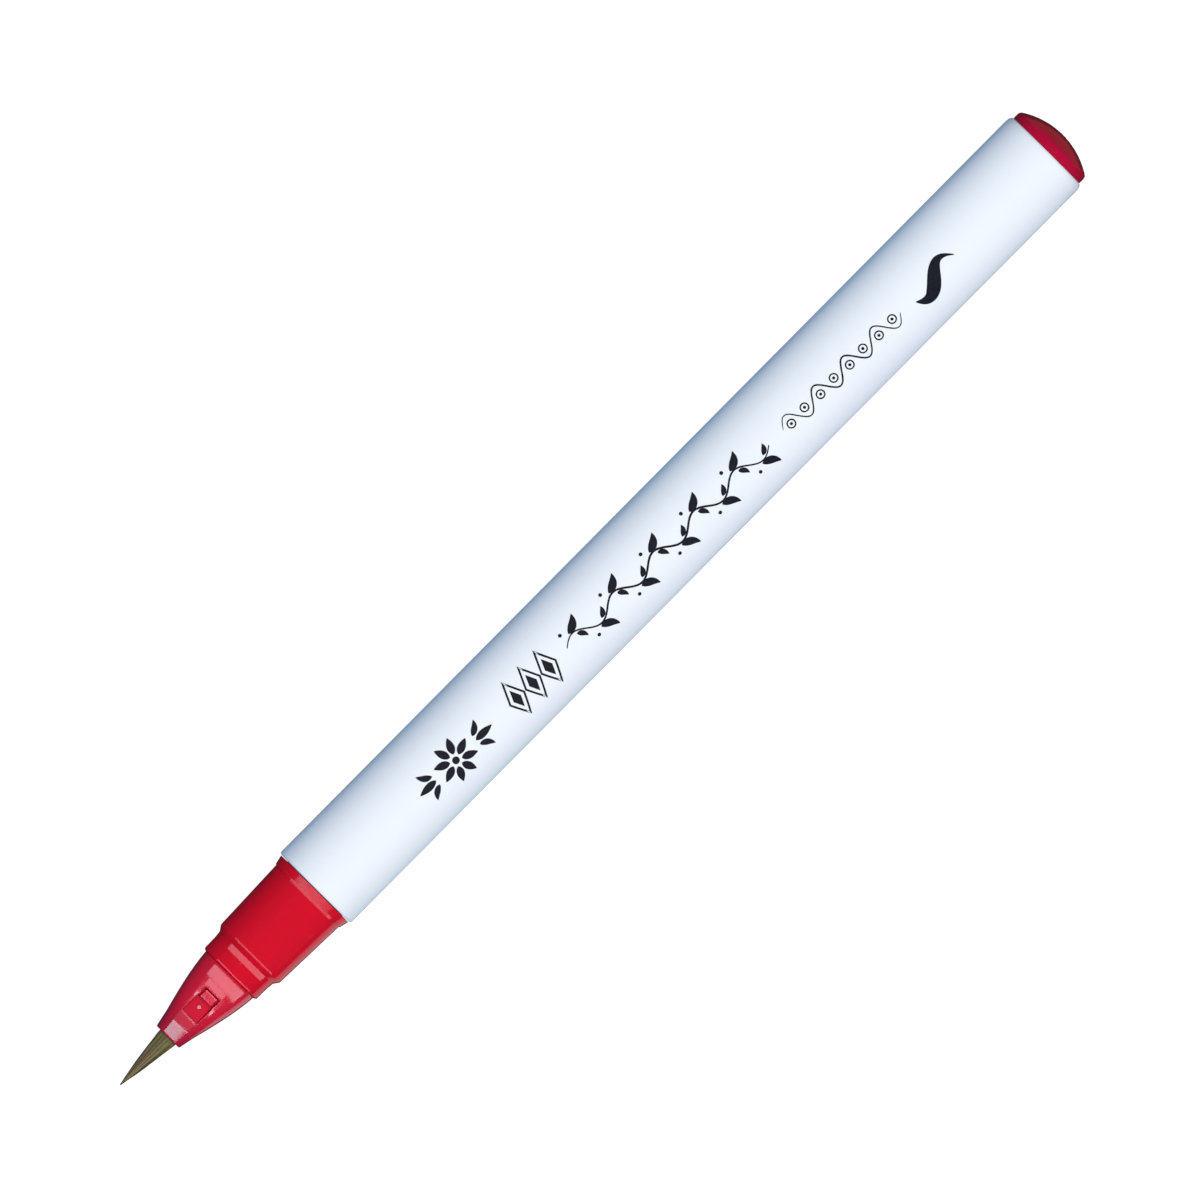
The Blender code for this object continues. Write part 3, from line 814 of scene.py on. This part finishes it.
class BRUSHPEN_OT_build_tuft_holder(bpy.types.Operator):
    """Build the bush behind the tuft's root, with a floor and a latch tab in each window"""

    bl_idname = "brushpen.build_tuft_holder"
    bl_label = "Tuft holder"

    floor_recess = 0.00003  # of the window's floor below the nose's surface, at its front edge
    floor_gap = 0.00006
    pip_radius = 0.00025
    pip_height = 0.00010
    pip_lean = math.radians(12.1)  # of its flat top, towards the tuft
    pip_place = 0.00464  # from the mouth

    def rise(self, shape, start, end, half, height):
        """Draws the bush's skin outwards between two stations, to a height given along x."""
        floor = nose_radius(start) - NOSE_WALL - FIT_GAP - EDGE_ROUND
        for side in (-1, 1):
            skin = [
                face
                for face in faces_between(shape, MOUTH + start, MOUTH + end, half, floor)
                if side * (face.calc_center_median().z - AXIS_HEIGHT) > 0
            ]
            drawn = bmesh.ops.extrude_face_region(shape, geom=skin)["geom"]
            for vert in (found for found in drawn if isinstance(found, bmesh.types.BMVert)):
                radius = height(vert.co.x - MOUTH)
                vert.co.z = AXIS_HEIGHT + side * math.sqrt(radius**2 - vert.co.y**2)

    def pip(self, shape, side):
        """A small boss with a flat, leaning top, on the bush in the middle of a window."""
        x = MOUTH + self.pip_place
        floor = nose_radius(WINDOW_START) - self.floor_recess
        place = Matrix.Translation((x, 0.0, AXIS_HEIGHT + side * floor))
        lean = Matrix.Rotation(-side * self.pip_lean, 4, "Y")
        made = bmesh.ops.create_cone(
            shape,
            cap_ends=True,
            segments=24,
            radius1=self.pip_radius * (1.0 if side > 0 else 0.9),
            radius2=self.pip_radius * (0.9 if side > 0 else 1.0),
            depth=2 * self.pip_height,
            matrix=place @ lean,
        )
        rims = {edge for vert in made["verts"] for edge in vert.link_edges}
        tops = [
            edge
            for edge in rims
            if all(side * (vert.co.z - AXIS_HEIGHT) > floor for vert in edge.verts)
        ]
        soften(shape, tops, EDGE_ROUND / 3, 1)

    def execute(self, context):
        wall = NOSE_WALL + FIT_GAP
        root_rear = SHOULDER_DEPTH + FIT_GAP + ROOT_FLANGE_THICKNESS
        start, end = root_rear + FIT_GAP, SOCKET_START - FIT_GAP
        tab_end = WINDOW_END - FIT_GAP
        tab_start = tab_end - TAB_LENGTH
        floor_start = WINDOW_START + EDGE_ROUND / 2
        stations = [start, *spaced(floor_start, tab_start, 10), *spaced(tab_start, tab_end, 5)[1:]]
        profile = [(x, nose_radius(x) - wall) for x in stations]
        profile += [(end, nose_radius(end) - wall, 1), (end, GUIDE_BORE, 1), (start, GUIDE_BORE, 1)]
        shape = turned(shifted(profile, MOUTH), ring=True)
        half = WINDOW_WIDTH / 2 - self.floor_gap
        tab_half = WINDOW_WIDTH / 2 - TAB_SIDE_GAP
        straighten_column(shape, half)

        def floor_height(x):
            return max(nose_radius(WINDOW_START) - self.floor_recess, nose_radius(x) - wall + MERGE)

        def tab_height(x):
            return nose_radius(x) - TAB_RECESS

        self.rise(shape, floor_start, tab_start, half, floor_height)
        self.rise(shape, tab_start, tab_end, tab_half, tab_height)
        bmesh.ops.recalc_face_normals(shape, faces=shape.faces)
        least = nose_radius(tab_start) - TAB_RECESS - EDGE_ROUND
        rims = crisp_edges(shape, MOUTH + tab_start, MOUTH + tab_end, tab_half, least)
        soften(shape, rims, EDGE_ROUND / 2)
        for side in (-1, 1):
            self.pip(shape, side)
        item = finished_object("tuft_holder_bush", shape, nose_material("holder_red"))
        hand_over(item, "tuft_holder")
        return {"FINISHED"}


class BRUSHPEN_OT_build_tuft(bpy.types.Operator):
    """Build the tuft of tapered bristles, from its point to inside the nose's mouth"""

    bl_idname = "brushpen.build_tuft"
    bl_label = "Tuft"

    sides = 5
    rings = 7
    root_depth = 0.00096  # how far the bristles reach inside the mouth
    point_radius = 0.00007

    def envelope(self, distance):
        """The tuft's radius at a distance from its point. Inside the mouth it stays the same."""
        share = min(distance, TUFT_LENGTH) / TUFT_LENGTH
        return max(TUFT_RADIUS * share**TUFT_TAPER, self.point_radius)

    def blank(self):
        """The mesh that every bristle starts from: a closed rod of radius 1 from z = 0 to z = 1."""
        rod = bmesh.new()
        bmesh.ops.create_circle(rod, cap_ends=True, segments=self.sides, radius=1.0)
        ring = rod.faces[:]
        for _ in range(self.rings):
            drawn = bmesh.ops.extrude_face_region(rod, geom=ring)["geom"]
            ring = [found for found in drawn if isinstance(found, bmesh.types.BMFace)]
            tops = [found for found in drawn if isinstance(found, bmesh.types.BMVert)]
            bmesh.ops.translate(rod, vec=(0.0, 0.0, 1 / self.rings), verts=tops)
        mesh = bpy.data.meshes.new("bristle_blank")
        rod.to_mesh(mesh)
        rod.free()
        return mesh

    def shape_bristle(self, verts, chance, number, own, tint, along):
        """Bends a blank into one bristle, from its end near the tuft's point to inside the mouth."""
        angle = number * math.pi * (3 - math.sqrt(5))
        share = math.sqrt((number + 0.5) / own.count)
        shade = chance.random()
        short = 0.0 if number % 12 == 0 else chance.random() ** 2 * 0.0016
        wander = chance.uniform(-0.12, 0.12)
        weave = chance.uniform(-0.035, 0.035)
        thickness = chance.uniform(0.85, 1.15) * own.thickness / 2
        length = TUFT_LENGTH + self.root_depth - short
        for vert in verts:
            t = vert.co.z
            distance = short + length * t**1.35
            reach = self.envelope(distance)
            girth = thickness * max(reach / TUFT_RADIUS, 0.25)
            from_axis = max(reach * (share + weave * math.sin(9 * t + shade * 6)) - girth, 0.0)
            turn = angle + wander * (1 - t)
            y = from_axis * math.cos(turn) + girth * vert.co.x
            z = from_axis * math.sin(turn) + girth * vert.co.y
            vert.co = (TUFT_POINT + distance, y, AXIS_HEIGHT + z)
            # Painted shade: each bristle's own random tone is darkened the further it lies round from the
            # tuft's upper side, so the tuft's sides and underside are darker than its top.
            vert[tint] = shade * (0.2 + 0.8 * max(math.sin(turn - 0.2), 0.0) ** 0.4)
            vert[along] = min(distance / TUFT_LENGTH, 1.0)

    def core(self, shape, tint, along):
        """The closed body of hairs under the outer ones."""
        distances = spaced(0.0004, TUFT_LENGTH + self.root_depth, 14)
        profile = [(TUFT_POINT + d, self.envelope(d) * 0.86) for d in distances]
        profile = [(profile[0][0], 0.0), *profile, (profile[-1][0], 0.0)]
        body = turned(profile, ring=False, steps=48)
        mesh = bpy.data.meshes.new("tuft_core")
        body.to_mesh(mesh)
        body.free()
        known = set(shape.verts)
        shape.from_mesh(mesh)
        bpy.data.meshes.remove(mesh)
        for vert in set(shape.verts) - known:
            vert[tint] = 0.25
            vert[along] = min((vert.co.x - TUFT_POINT) / TUFT_LENGTH, 1.0)

    def execute(self, context):
        own = settings("tuft")
        chance = random.Random(7)
        shape = bmesh.new()
        # Holds each bristle's random tone with painted shade on the tuft's sides and underside.
        tint = shape.verts.layers.float.new("bristle_tint_and_shade")
        along = shape.verts.layers.float.new("bristle_along")
        blank = self.blank()
        for _ in range(own.count):
            shape.from_mesh(blank)
        every = shape.verts[:]
        size = len(blank.vertices)
        for number in range(own.count):
            verts = every[number * size : (number + 1) * size]
            self.shape_bristle(verts, chance, number, own, tint, along)
        bpy.data.meshes.remove(blank)
        self.core(shape, tint, along)
        bmesh.ops.recalc_face_normals(shape, faces=shape.faces)
        item = finished_object("tuft_bristles", shape, bristle_material(), sharp=80, weighted=False)
        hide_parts("tuft")
        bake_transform(item)
        return {"FINISHED"}


class BRUSHPEN_OT_build_inside(bpy.types.Operator):
    """Build the pieces inside: the tuft's bound root, the feed core, the reservoir and its film"""

    bl_idname = "brushpen.build_inside"
    bl_label = "Inner pieces"

    def ends(self, node):
        return [corner.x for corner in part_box(node)]

    def root(self):
        front, rear = self.ends("tuft_root")
        flange = rear - ROOT_FLANGE_THICKNESS
        flange_radius = nose_radius(SHOULDER_DEPTH) - NOSE_WALL - FIT_GAP
        socket = FEED_RADIUS + FIT_GAP
        profile = [
            (front, 0.0),
            (front, TUFT_RADIUS, 1),
            (flange, TUFT_RADIUS, 1),
            (flange, flange_radius, 1),
            (rear, flange_radius, 1),
            (rear, socket, 1),
            (rear - ROOT_SOCKET_DEPTH, socket, 1),
            (rear - ROOT_SOCKET_DEPTH, 0.0),
        ]
        bound = fibre_material("fused_bristle", (0.15, 0.10, 0.055), (0.07, 0.045, 0.025), 0.5, 9000.0, 6)
        item = finished_object("tuft_root_block", turned(profile, ring=False), bound)
        hand_over(item, "tuft_root")

    def feed_core(self):
        front, rear = self.ends("feed_core")
        profile = [
            (front, 0.0),
            (front, FEED_RADIUS / 2, 1),
            (front + FEED_POINT, FEED_RADIUS, 1),
            (rear - FEED_POINT, FEED_RADIUS, 1),
            (rear, FEED_RADIUS / 2, 1),
            (rear, 0.0),
        ]
        fibre = fibre_material("feed_fibre", (0.80, 0.30, 0.32), (0.55, 0.08, 0.10), 0.6, 12000.0, 5)
        item = finished_object("feed_core_rod", turned(profile, ring=False, steps=64), fibre)
        hand_over(item, "feed_core")

    def reservoir(self):
        front, rear = self.ends("ink_reservoir")
        bottom = front + FEED_ENTRY + FEED_SOCKET_SPARE
        socket = FEED_RADIUS + FEED_CLEARANCE
        profile = [
            (bottom, 0.0),
            (bottom, socket, 1),
            (front, socket, 1),
            (front, RESERVOIR_RADIUS, 2),
            (rear, RESERVOIR_RADIUS, 2),
            (rear, 0.0),
        ]
        fibre = fibre_material("reservoir_fibre", (0.66, 0.10, 0.12), (0.42, 0.03, 0.05), 0.85, 5000.0, 20)
        item = finished_object("ink_reservoir_rod", turned(profile, ring=False), fibre)
        hand_over(item, "ink_reservoir")

    def film(self):
        front, rear = self.ends("reservoir_film")
        inner = FILM_RADIUS - FILM_WALL
        profile = [(front, FILM_RADIUS), (rear, FILM_RADIUS), (rear, inner), (front, inner)]
        item = finished_object("reservoir_film_tube", turned(profile, ring=True), film_material())
        hand_over(item, "reservoir_film")

    def execute(self, context):
        self.root()
        self.feed_core()
        self.reservoir()
        self.film()
        return {"FINISHED"}


# ---------------------------------------------------------------- printed ornament


def heading(angle):
    return Vector((math.cos(angle), math.sin(angle)))


def wave(start, end, height, waves):
    """A waving line along the barrel, as a function of t from 0 to 1."""

    def line(t):
        return Vector((start + (end - start) * t, height * math.sin(2 * math.pi * waves * t)))

    return line


def swelling(ends, more):
    """A thin stroke's width along t, as shares of the stem: its ends, and more in the middle."""
    stem = settings("print").stem
    return lambda t: stem * (ends + more * math.sin(math.pi * t) ** 0.5)


class BRUSHPEN_OT_print_ornament(bpy.types.Operator):
    """Print the ornament along the barrel: a flower, lozenges, a vine, a scroll and a swash"""

    bl_idname = "brushpen.print_ornament"
    bl_label = "Printed ornament"

    lift = 0.000012  # the ink's face above the barrel
    ink_thickness = 0.000011
    widest_facet = 0.00025  # across the print, so that it keeps to the barrel's curve

    def on_barrel(self, point):
        """The place on the barrel of a point along it, from the tuft's point, and across it."""
        turn = settings("print").turn + point.y / BARREL_RADIUS
        radius = BARREL_RADIUS + self.lift
        y, z = radius * math.sin(turn), radius * math.cos(turn)
        return Vector((TUFT_POINT + point.x, y, AXIS_HEIGHT + z))

    def patch(self, shape, place, steps, width):
        """Adds a patch. place(t, side) is a point of it, t from 0 to 1 and side from -1 to 1."""
        across = max(1, math.ceil(width / self.widest_facet))
        made = bmesh.ops.create_grid(shape, x_segments=steps, y_segments=across, size=0.5)
        for vert in made["verts"]:
            vert.co = self.on_barrel(place(vert.co.x + 0.5, 2 * vert.co.y))

    def stroke(self, shape, line, width, steps):
        """A stroke along line(t), as wide as width(t)."""
        small = 0.001

        def place(t, side):
            ahead = line(min(t + small, 1.0)) - line(max(t - small, 0.0))
            across = Vector((-ahead.y, ahead.x)).normalized()
            return line(t) + across * (side * width(t) / 2)

        self.patch(shape, place, steps, max(width(t) for t in spaced(0, 1, 8)))

    def leaf(self, shape, base, direction, length, width, bend=0.12):
        """A pointed leaf from its base, with a slight bend to its left."""
        ahead = heading(direction)
        left = Vector((-ahead.y, ahead.x))

        def line(t):
            return base + ahead * (length * t) + left * (bend * length * math.sin(math.pi * t))

        def full(t):
            return width * math.sin(math.pi * t**0.8) ** 0.85 if 0 < t < 1 else 0.0

        self.stroke(shape, line, full, 12)

    def round_patch(self, shape, middle, reach, steps, width):
        """A patch that goes round its middle, as far from it as reach(ahead, side)."""

        def place(t, side):
            ahead = heading(2 * math.pi * t)
            return middle + ahead * reach(ahead, side)

        self.patch(shape, place, steps, width)

    def dot(self, shape, middle, radius):
        """A round dot, made of rings that close in its middle."""
        self.round_patch(shape, middle, lambda ahead, side: radius * (side + 1) / 2, 20, radius)

    def ring(self, shape, middle, radius, width):
        """A thin round ring."""
        self.round_patch(shape, middle, lambda ahead, side: radius + side * width / 2, 24, width)

    def lozenge(self, shape, middle, half_length, half_height, share):
        """A lozenge's outline. Share is how much of it is open."""

        def reach(ahead, side):
            whole = 1 / (abs(ahead.x) / half_length + abs(ahead.y) / half_height)
            return whole * (share + (1 - share) * (side + 1) / 2)

        self.round_patch(shape, middle, reach, 48, (1 - share) * half_length)

    def flower(self, shape, middle):
        """Eight petals round a dot, between two sprigs of three leaves."""
        self.dot(shape, middle, 0.00042)
        for i in range(8):
            direction = math.radians(22.5 + 45 * i)
            base = middle + heading(direction) * 0.00068
            self.leaf(shape, base, direction, 0.0019, 0.00088, bend=0.0)
        for way in (1, -1):
            turn = 0.0 if way > 0 else math.pi
            base = middle + Vector((way * 0.0030, 0.0))
            self.leaf(shape, base, turn, 0.0024, 0.00085, bend=0.0)
            for side in (-1, 1):
                root = base + Vector((0.0, side * way * 0.0006))
                self.leaf(shape, root, turn + side * math.radians(42), 0.0018, 0.0007, -0.12 * side)

    def lattice(self, shape, start, end):
        """Three lozenges in a row, each with a small solid one in it."""
        pitch = (end - start) / 3
        for i in range(3):
            middle = Vector((start + pitch * (i + 0.5), 0.0))
            self.lozenge(shape, middle, pitch * 0.49, 0.0025, 0.79)
            self.lozenge(shape, middle, pitch * 0.23, 0.0012, 0.0)

    def vine(self, shape, start, end, waves=5):
        """A waving stem with a leaf and a berry in each bend."""
        line = wave(start, end, 0.00075, waves)
        self.stroke(shape, line, swelling(0.45, 0.55), 28 * waves)
        gap = settings("print").stem * 0.5 + 0.00016
        for i in range(2 * waves):
            side = 1 if i % 2 == 0 else -1
            t = (i + 0.5) / (2 * waves)
            big = line(t - 0.012) + Vector((0.0, side * gap))
            self.leaf(shape, big, side * math.radians(38), 0.0022, 0.00092, bend=-0.14 * side)
            small = line(t + 0.010) - Vector((0.0, side * gap * 1.3))
            self.leaf(shape, small, -side * math.radians(52), 0.0013, 0.0006, bend=0.14 * side)
            self.dot(shape, line(t - 0.030) + Vector((-0.0002, side * 0.00105)), 0.00021)

    def scroll(self, shape, start, end, waves=4):
        """A fine wave with a ring in each bend and a dot in each ring."""
        line = wave(start, end, 0.00105, waves)
        self.stroke(shape, line, swelling(0.3, 0.5), 28 * waves)
        for i in range(2 * waves):
            side = 1 if i % 2 == 0 else -1
            middle = Vector((line((i + 0.5) / (2 * waves)).x, -side * 0.00012))
            self.ring(shape, middle, 0.00046, 0.00016)
            self.dot(shape, middle, 0.00017)

    def swash(self, shape, start, end):
        """One bold tapered brush stroke."""

        def line(t):
            return Vector((start + (end - start) * t, -0.0012 * math.sin(2 * math.pi * (0.06 + 0.9 * t))))

        def bold(t):
            return 0.00012 + 0.00145 * math.sin(math.pi * t**0.75) ** 1.3 if t < 1 else 0.00012

        self.stroke(shape, line, bold, 48)

    def execute(self, context):
        shape = bmesh.new()
        self.flower(shape, Vector((0.04965, 0.0)))
        self.lattice(shape, 0.0577, 0.0648)
        self.vine(shape, 0.0664, 0.0968)
        self.scroll(shape, 0.0990, 0.1166)
        self.swash(shape, 0.1186, 0.1250)
        bmesh.ops.remove_doubles(shape, verts=shape.verts, dist=MERGE)
        bmesh.ops.dissolve_degenerate(shape, edges=shape.edges, dist=MERGE)
        turned_in = [face for face in shape.faces if face.normal.z < 0]
        bmesh.ops.reverse_faces(shape, faces=turned_in)
        bmesh.ops.solidify(shape, geom=shape.faces[:], thickness=self.ink_thickness)
        bmesh.ops.recalc_face_normals(shape, faces=shape.faces)
        item = finished_object("printed_ornament", shape, ink_material(), weighted=False)
        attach(item, "pen")
        return {"FINISHED"}


# ---------------------------------------------------------------- stage


class BRUSHPEN_OT_set_stage(bpy.types.Operator):
    """Set up the pale floor, the soft lights, the room light and the camera"""

    bl_idname = "brushpen.set_stage"
    bl_label = "Stage"

    floor_size = 6.0
    camera_lens = 1500.0
    camera_sensor = 36.0
    view_width = 0.1275
    view_tilt = math.radians(3.7)  # about the pen's axis, towards +Y
    view_roll = math.radians(45.24)
    view_offset = (0.00092, 0.00103)  # right and up, from the pen's middle
    warm = (0.7, 0.58, 0.64)
    only_mirrored = ("camera", "diffuse", "shadow")  # the rays that pass a strip or a pale card

    def glow(self, name, colour, strength=1.0):
        material = bpy.data.materials.new(name)
        material.use_nodes = True
        tree = material.node_tree
        tree.nodes.remove(tree.nodes["Principled BSDF"])
        light = added(tree, "Emission", {"Color": colour, "Strength": strength})
        filled(tree.nodes["Material Output"], {"Surface": light.outputs["Emission"]})
        return material

    def by_ray(self, tree, kind, seen):
        """What is seen to the camera, dark in reflections and the room's light to all else."""
        own = settings("stage")
        room, dark = [added(tree, kind, {"Color": c}).outputs[0] for c in (own.ambient, own.mirrored)]
        ray = tree.nodes.new("ShaderNodeLightPath").outputs
        unseen = added(tree, "MixShader", {"Fac": ray["Is Glossy Ray"], 1: room, 2: dark})
        values = {"Fac": ray["Is Camera Ray"], 1: unseen.outputs["Shader"], 2: seen}
        return added(tree, "MixShader", values).outputs["Shader"]

    def floor_material(self):
        """White paper that takes a faint shadow."""
        material = self.glow("studio_floor", (1.0, 1.0, 1.0), 0.96)
        tree = material.node_tree
        where = tree.nodes.new("ShaderNodeTexCoord").outputs["Object"]
        tone = mixed_colour(tree, noise(tree, where, 40.0), (0.24, 0.24, 0.24), (0.26, 0.26, 0.26))
        paper = added(tree, "BsdfDiffuse", {"Color": tone}).outputs["BSDF"]
        white = tree.nodes["Emission"].outputs["Emission"]
        seen = added(tree, "AddShader", {0: white, 1: paper}).outputs["Shader"]
        filled(tree.nodes["Material Output"], {"Surface": self.by_ray(tree, "Emission", seen)})
        return material

    def stage_object(self, name, shape, material, passed=()):
        """A piece of the studio. Rays of the kinds in passed go through it."""
        item = finished_object(name, shape, material, weighted=False)
        for kind in passed:
            setattr(item, "visible_" + kind, False)

    def card(self, name, place, size, material, passed, segments=1):
        """A flat card, laid in its place by a matrix."""
        shape = bmesh.new()
        bmesh.ops.create_grid(shape, x_segments=segments, y_segments=segments, size=size, matrix=place)
        self.stage_object(name, shape, material, passed)

    def cards(self):
        """The floor, a pale card beside the pen and a dark one beyond its tail."""
        lowest = AXIS_HEIGHT - BARREL_RADIUS
        under = Matrix.Translation((0.0, 0.0, lowest - 0.00002))
        self.card("studio_floor", under, self.floor_size / 2, self.floor_material(), (), 8)
        corner = Vector((MOUTH, -BARREL_RADIUS - 0.0025, lowest))
        other = Vector((BARREL_REAR - 0.002, -BARREL_RADIUS - 0.017, lowest))
        spread = Matrix.Diagonal((other.x - corner.x, other.y - corner.y, 1.0, 1.0))
        beside = Matrix.Translation((corner + other) / 2) @ spread
        self.card("pale_card", beside, 0.5, self.glow("pale_card", (0.6, 0.6, 0.62)), self.only_mirrored)
        upright = Matrix.Rotation(math.radians(90), 4, "Y")
        beyond = Matrix.Translation((TAIL + 0.004, 0.0, 0.0)) @ upright
        dark = self.glow("dark_card", (0.17, 0.11, 0.085))
        self.card("dark_card", beyond, 0.011, dark, ("camera", "shadow"))

    def strip(self, name, leans, turns, share, colour, distance=0.5):
        """A bent softbox ahead of the nose, which only shows in glossy surfaces. Its leans are
        from upright towards the tuft, and its turns about the pen's axis, in degrees."""
        shape = bmesh.new()
        bmesh.ops.create_grid(shape, x_segments=1, y_segments=48, size=0.5)
        for vert in shape.verts:
            lean = math.radians(leans[0] + (leans[1] - leans[0]) * (vert.co.x + 0.5))
            turn = math.radians(turns[0] + (turns[1] - turns[0]) * (vert.co.y + 0.5))
            x = MOUTH - distance * math.tan(lean) * math.cos(turn / 2)
            vert.co = (x, -distance * math.sin(turn), AXIS_HEIGHT + distance * math.cos(turn))
        material = self.glow(name, colour, settings("stage").strips * share)
        self.stage_object(name, shape, material, self.only_mirrored)

    def strips(self):
        """The softboxes that give the nose and the section their highlights."""
        self.strip("upright_strip", (7.5, 16.3), (-69, 88), 1.0, self.warm)
        self.strip("middle_strip", (16.6, 20.1), (-48, 45), 1.0, self.warm)
        self.strip("leaning_strip", (23.8, 25.2), (-55, 69), 1.6, (0.6, 0.97, 1.05))
        self.strip("dim_strip", (19.0, 32.0), (-60, 62), 0.13, (1.0, 0.7, 0.85), 0.52)

    def key_light(self, context):
        """The main light, high over the pen, which shows in no reflection."""
        own = settings("stage")
        light = bpy.data.lights.new("key_light", "AREA")
        light.shape = "SQUARE"
        light.size = 0.35
        light.energy = own.key_power
        light.color = own.key_colour
        item = bpy.data.objects.new("key_light", light)
        context.scene.collection.objects.link(item)
        item.location = (0.15, -0.27, 1.5)
        item.rotation_euler = (-item.location).to_track_quat("-Z", "Y").to_euler()
        item.visible_camera = False
        item.visible_glossy = False

    def room(self, context):
        """A plain world: white to the camera, dark in reflections, dim blue-grey to all else."""
        world = bpy.data.worlds.new("studio_room")
        context.scene.world = world
        world.use_nodes = True
        tree = world.node_tree
        tree.nodes.remove(tree.nodes["Background"])
        white = added(tree, "Background", {"Color": (1.0, 1.0, 1.0)}).outputs["Background"]
        filled(tree.nodes["World Output"], {"Surface": self.by_ray(tree, "Background", white)})

    def camera(self, context):
        towards = Vector((0.0, math.sin(self.view_tilt), math.cos(self.view_tilt)))
        sideways = towards.cross(AXIS)
        right = AXIS * math.cos(self.view_roll) - sideways * math.sin(self.view_roll)
        up = AXIS * math.sin(self.view_roll) + sideways * math.cos(self.view_roll)
        middle = Vector(((TUFT_POINT + TAIL) / 2, 0.0, AXIS_HEIGHT))
        aim = middle + right * self.view_offset[0] + up * self.view_offset[1]
        data = bpy.data.cameras.new("camera")
        data.lens = self.camera_lens
        data.sensor_width = self.camera_sensor
        data.clip_start = 0.01
        data.clip_end = 40.0
        item = bpy.data.objects.new("camera", data)
        distance = self.view_width * self.camera_lens / self.camera_sensor
        turned_to = Matrix((right, up, towards)).transposed().to_4x4()
        item.matrix_world = Matrix.Translation(aim + towards * distance) @ turned_to
        context.scene.collection.objects.link(item)
        context.scene.camera = item

    def execute(self, context):
        context.scene.view_settings.view_transform = "Standard"
        self.cards()
        self.strips()
        self.key_light(context)
        self.room(context)
        self.camera(context)
        return {"FINISHED"}


class BRUSHPEN_PT_panel(bpy.types.Panel):
    """Lists the brush pen's pieces and its stage"""

    bl_idname = "BRUSHPEN_PT_panel"
    bl_label = "Brush Pen"
    bl_space_type = "VIEW_3D"
    bl_region_type = "UI"
    bl_category = "Brush Pen"

    def draw(self, context):
        for operator in OPERATORS:
            self.layout.operator(operator.bl_idname)


OPERATORS = (
    BRUSHPEN_OT_set_stage,
    BRUSHPEN_OT_build_barrel,
    BRUSHPEN_OT_print_ornament,
    BRUSHPEN_OT_build_tail_plug,
    BRUSHPEN_OT_build_section,
    BRUSHPEN_OT_build_nose,
    BRUSHPEN_OT_build_tuft_holder,
    BRUSHPEN_OT_build_tuft,
    BRUSHPEN_OT_build_inside,
)


def register():
    for group in SETTINGS.values():
        bpy.utils.register_class(group)
    for name, group in SETTINGS.items():
        setattr(bpy.types.Scene, "brush_pen_" + name, PointerProperty(type=group))
    for operator in OPERATORS:
        bpy.utils.register_class(operator)
    bpy.utils.register_class(BRUSHPEN_PT_panel)


def unregister():
    bpy.utils.unregister_class(BRUSHPEN_PT_panel)
    for operator in reversed(OPERATORS):
        bpy.utils.unregister_class(operator)
    for name, group in SETTINGS.items():
        delattr(bpy.types.Scene, "brush_pen_" + name)
        bpy.utils.unregister_class(group)


def main():
    register()
    bpy.ops.brushpen.set_stage()
    bpy.ops.brushpen.build_barrel()
    bpy.ops.brushpen.print_ornament()
    bpy.ops.brushpen.build_tail_plug()
    bpy.ops.brushpen.build_section()
    bpy.ops.brushpen.build_nose()
    bpy.ops.brushpen.build_tuft_holder()
    bpy.ops.brushpen.build_tuft()
    bpy.ops.brushpen.build_inside()


if __name__ == "__main__":
    main()
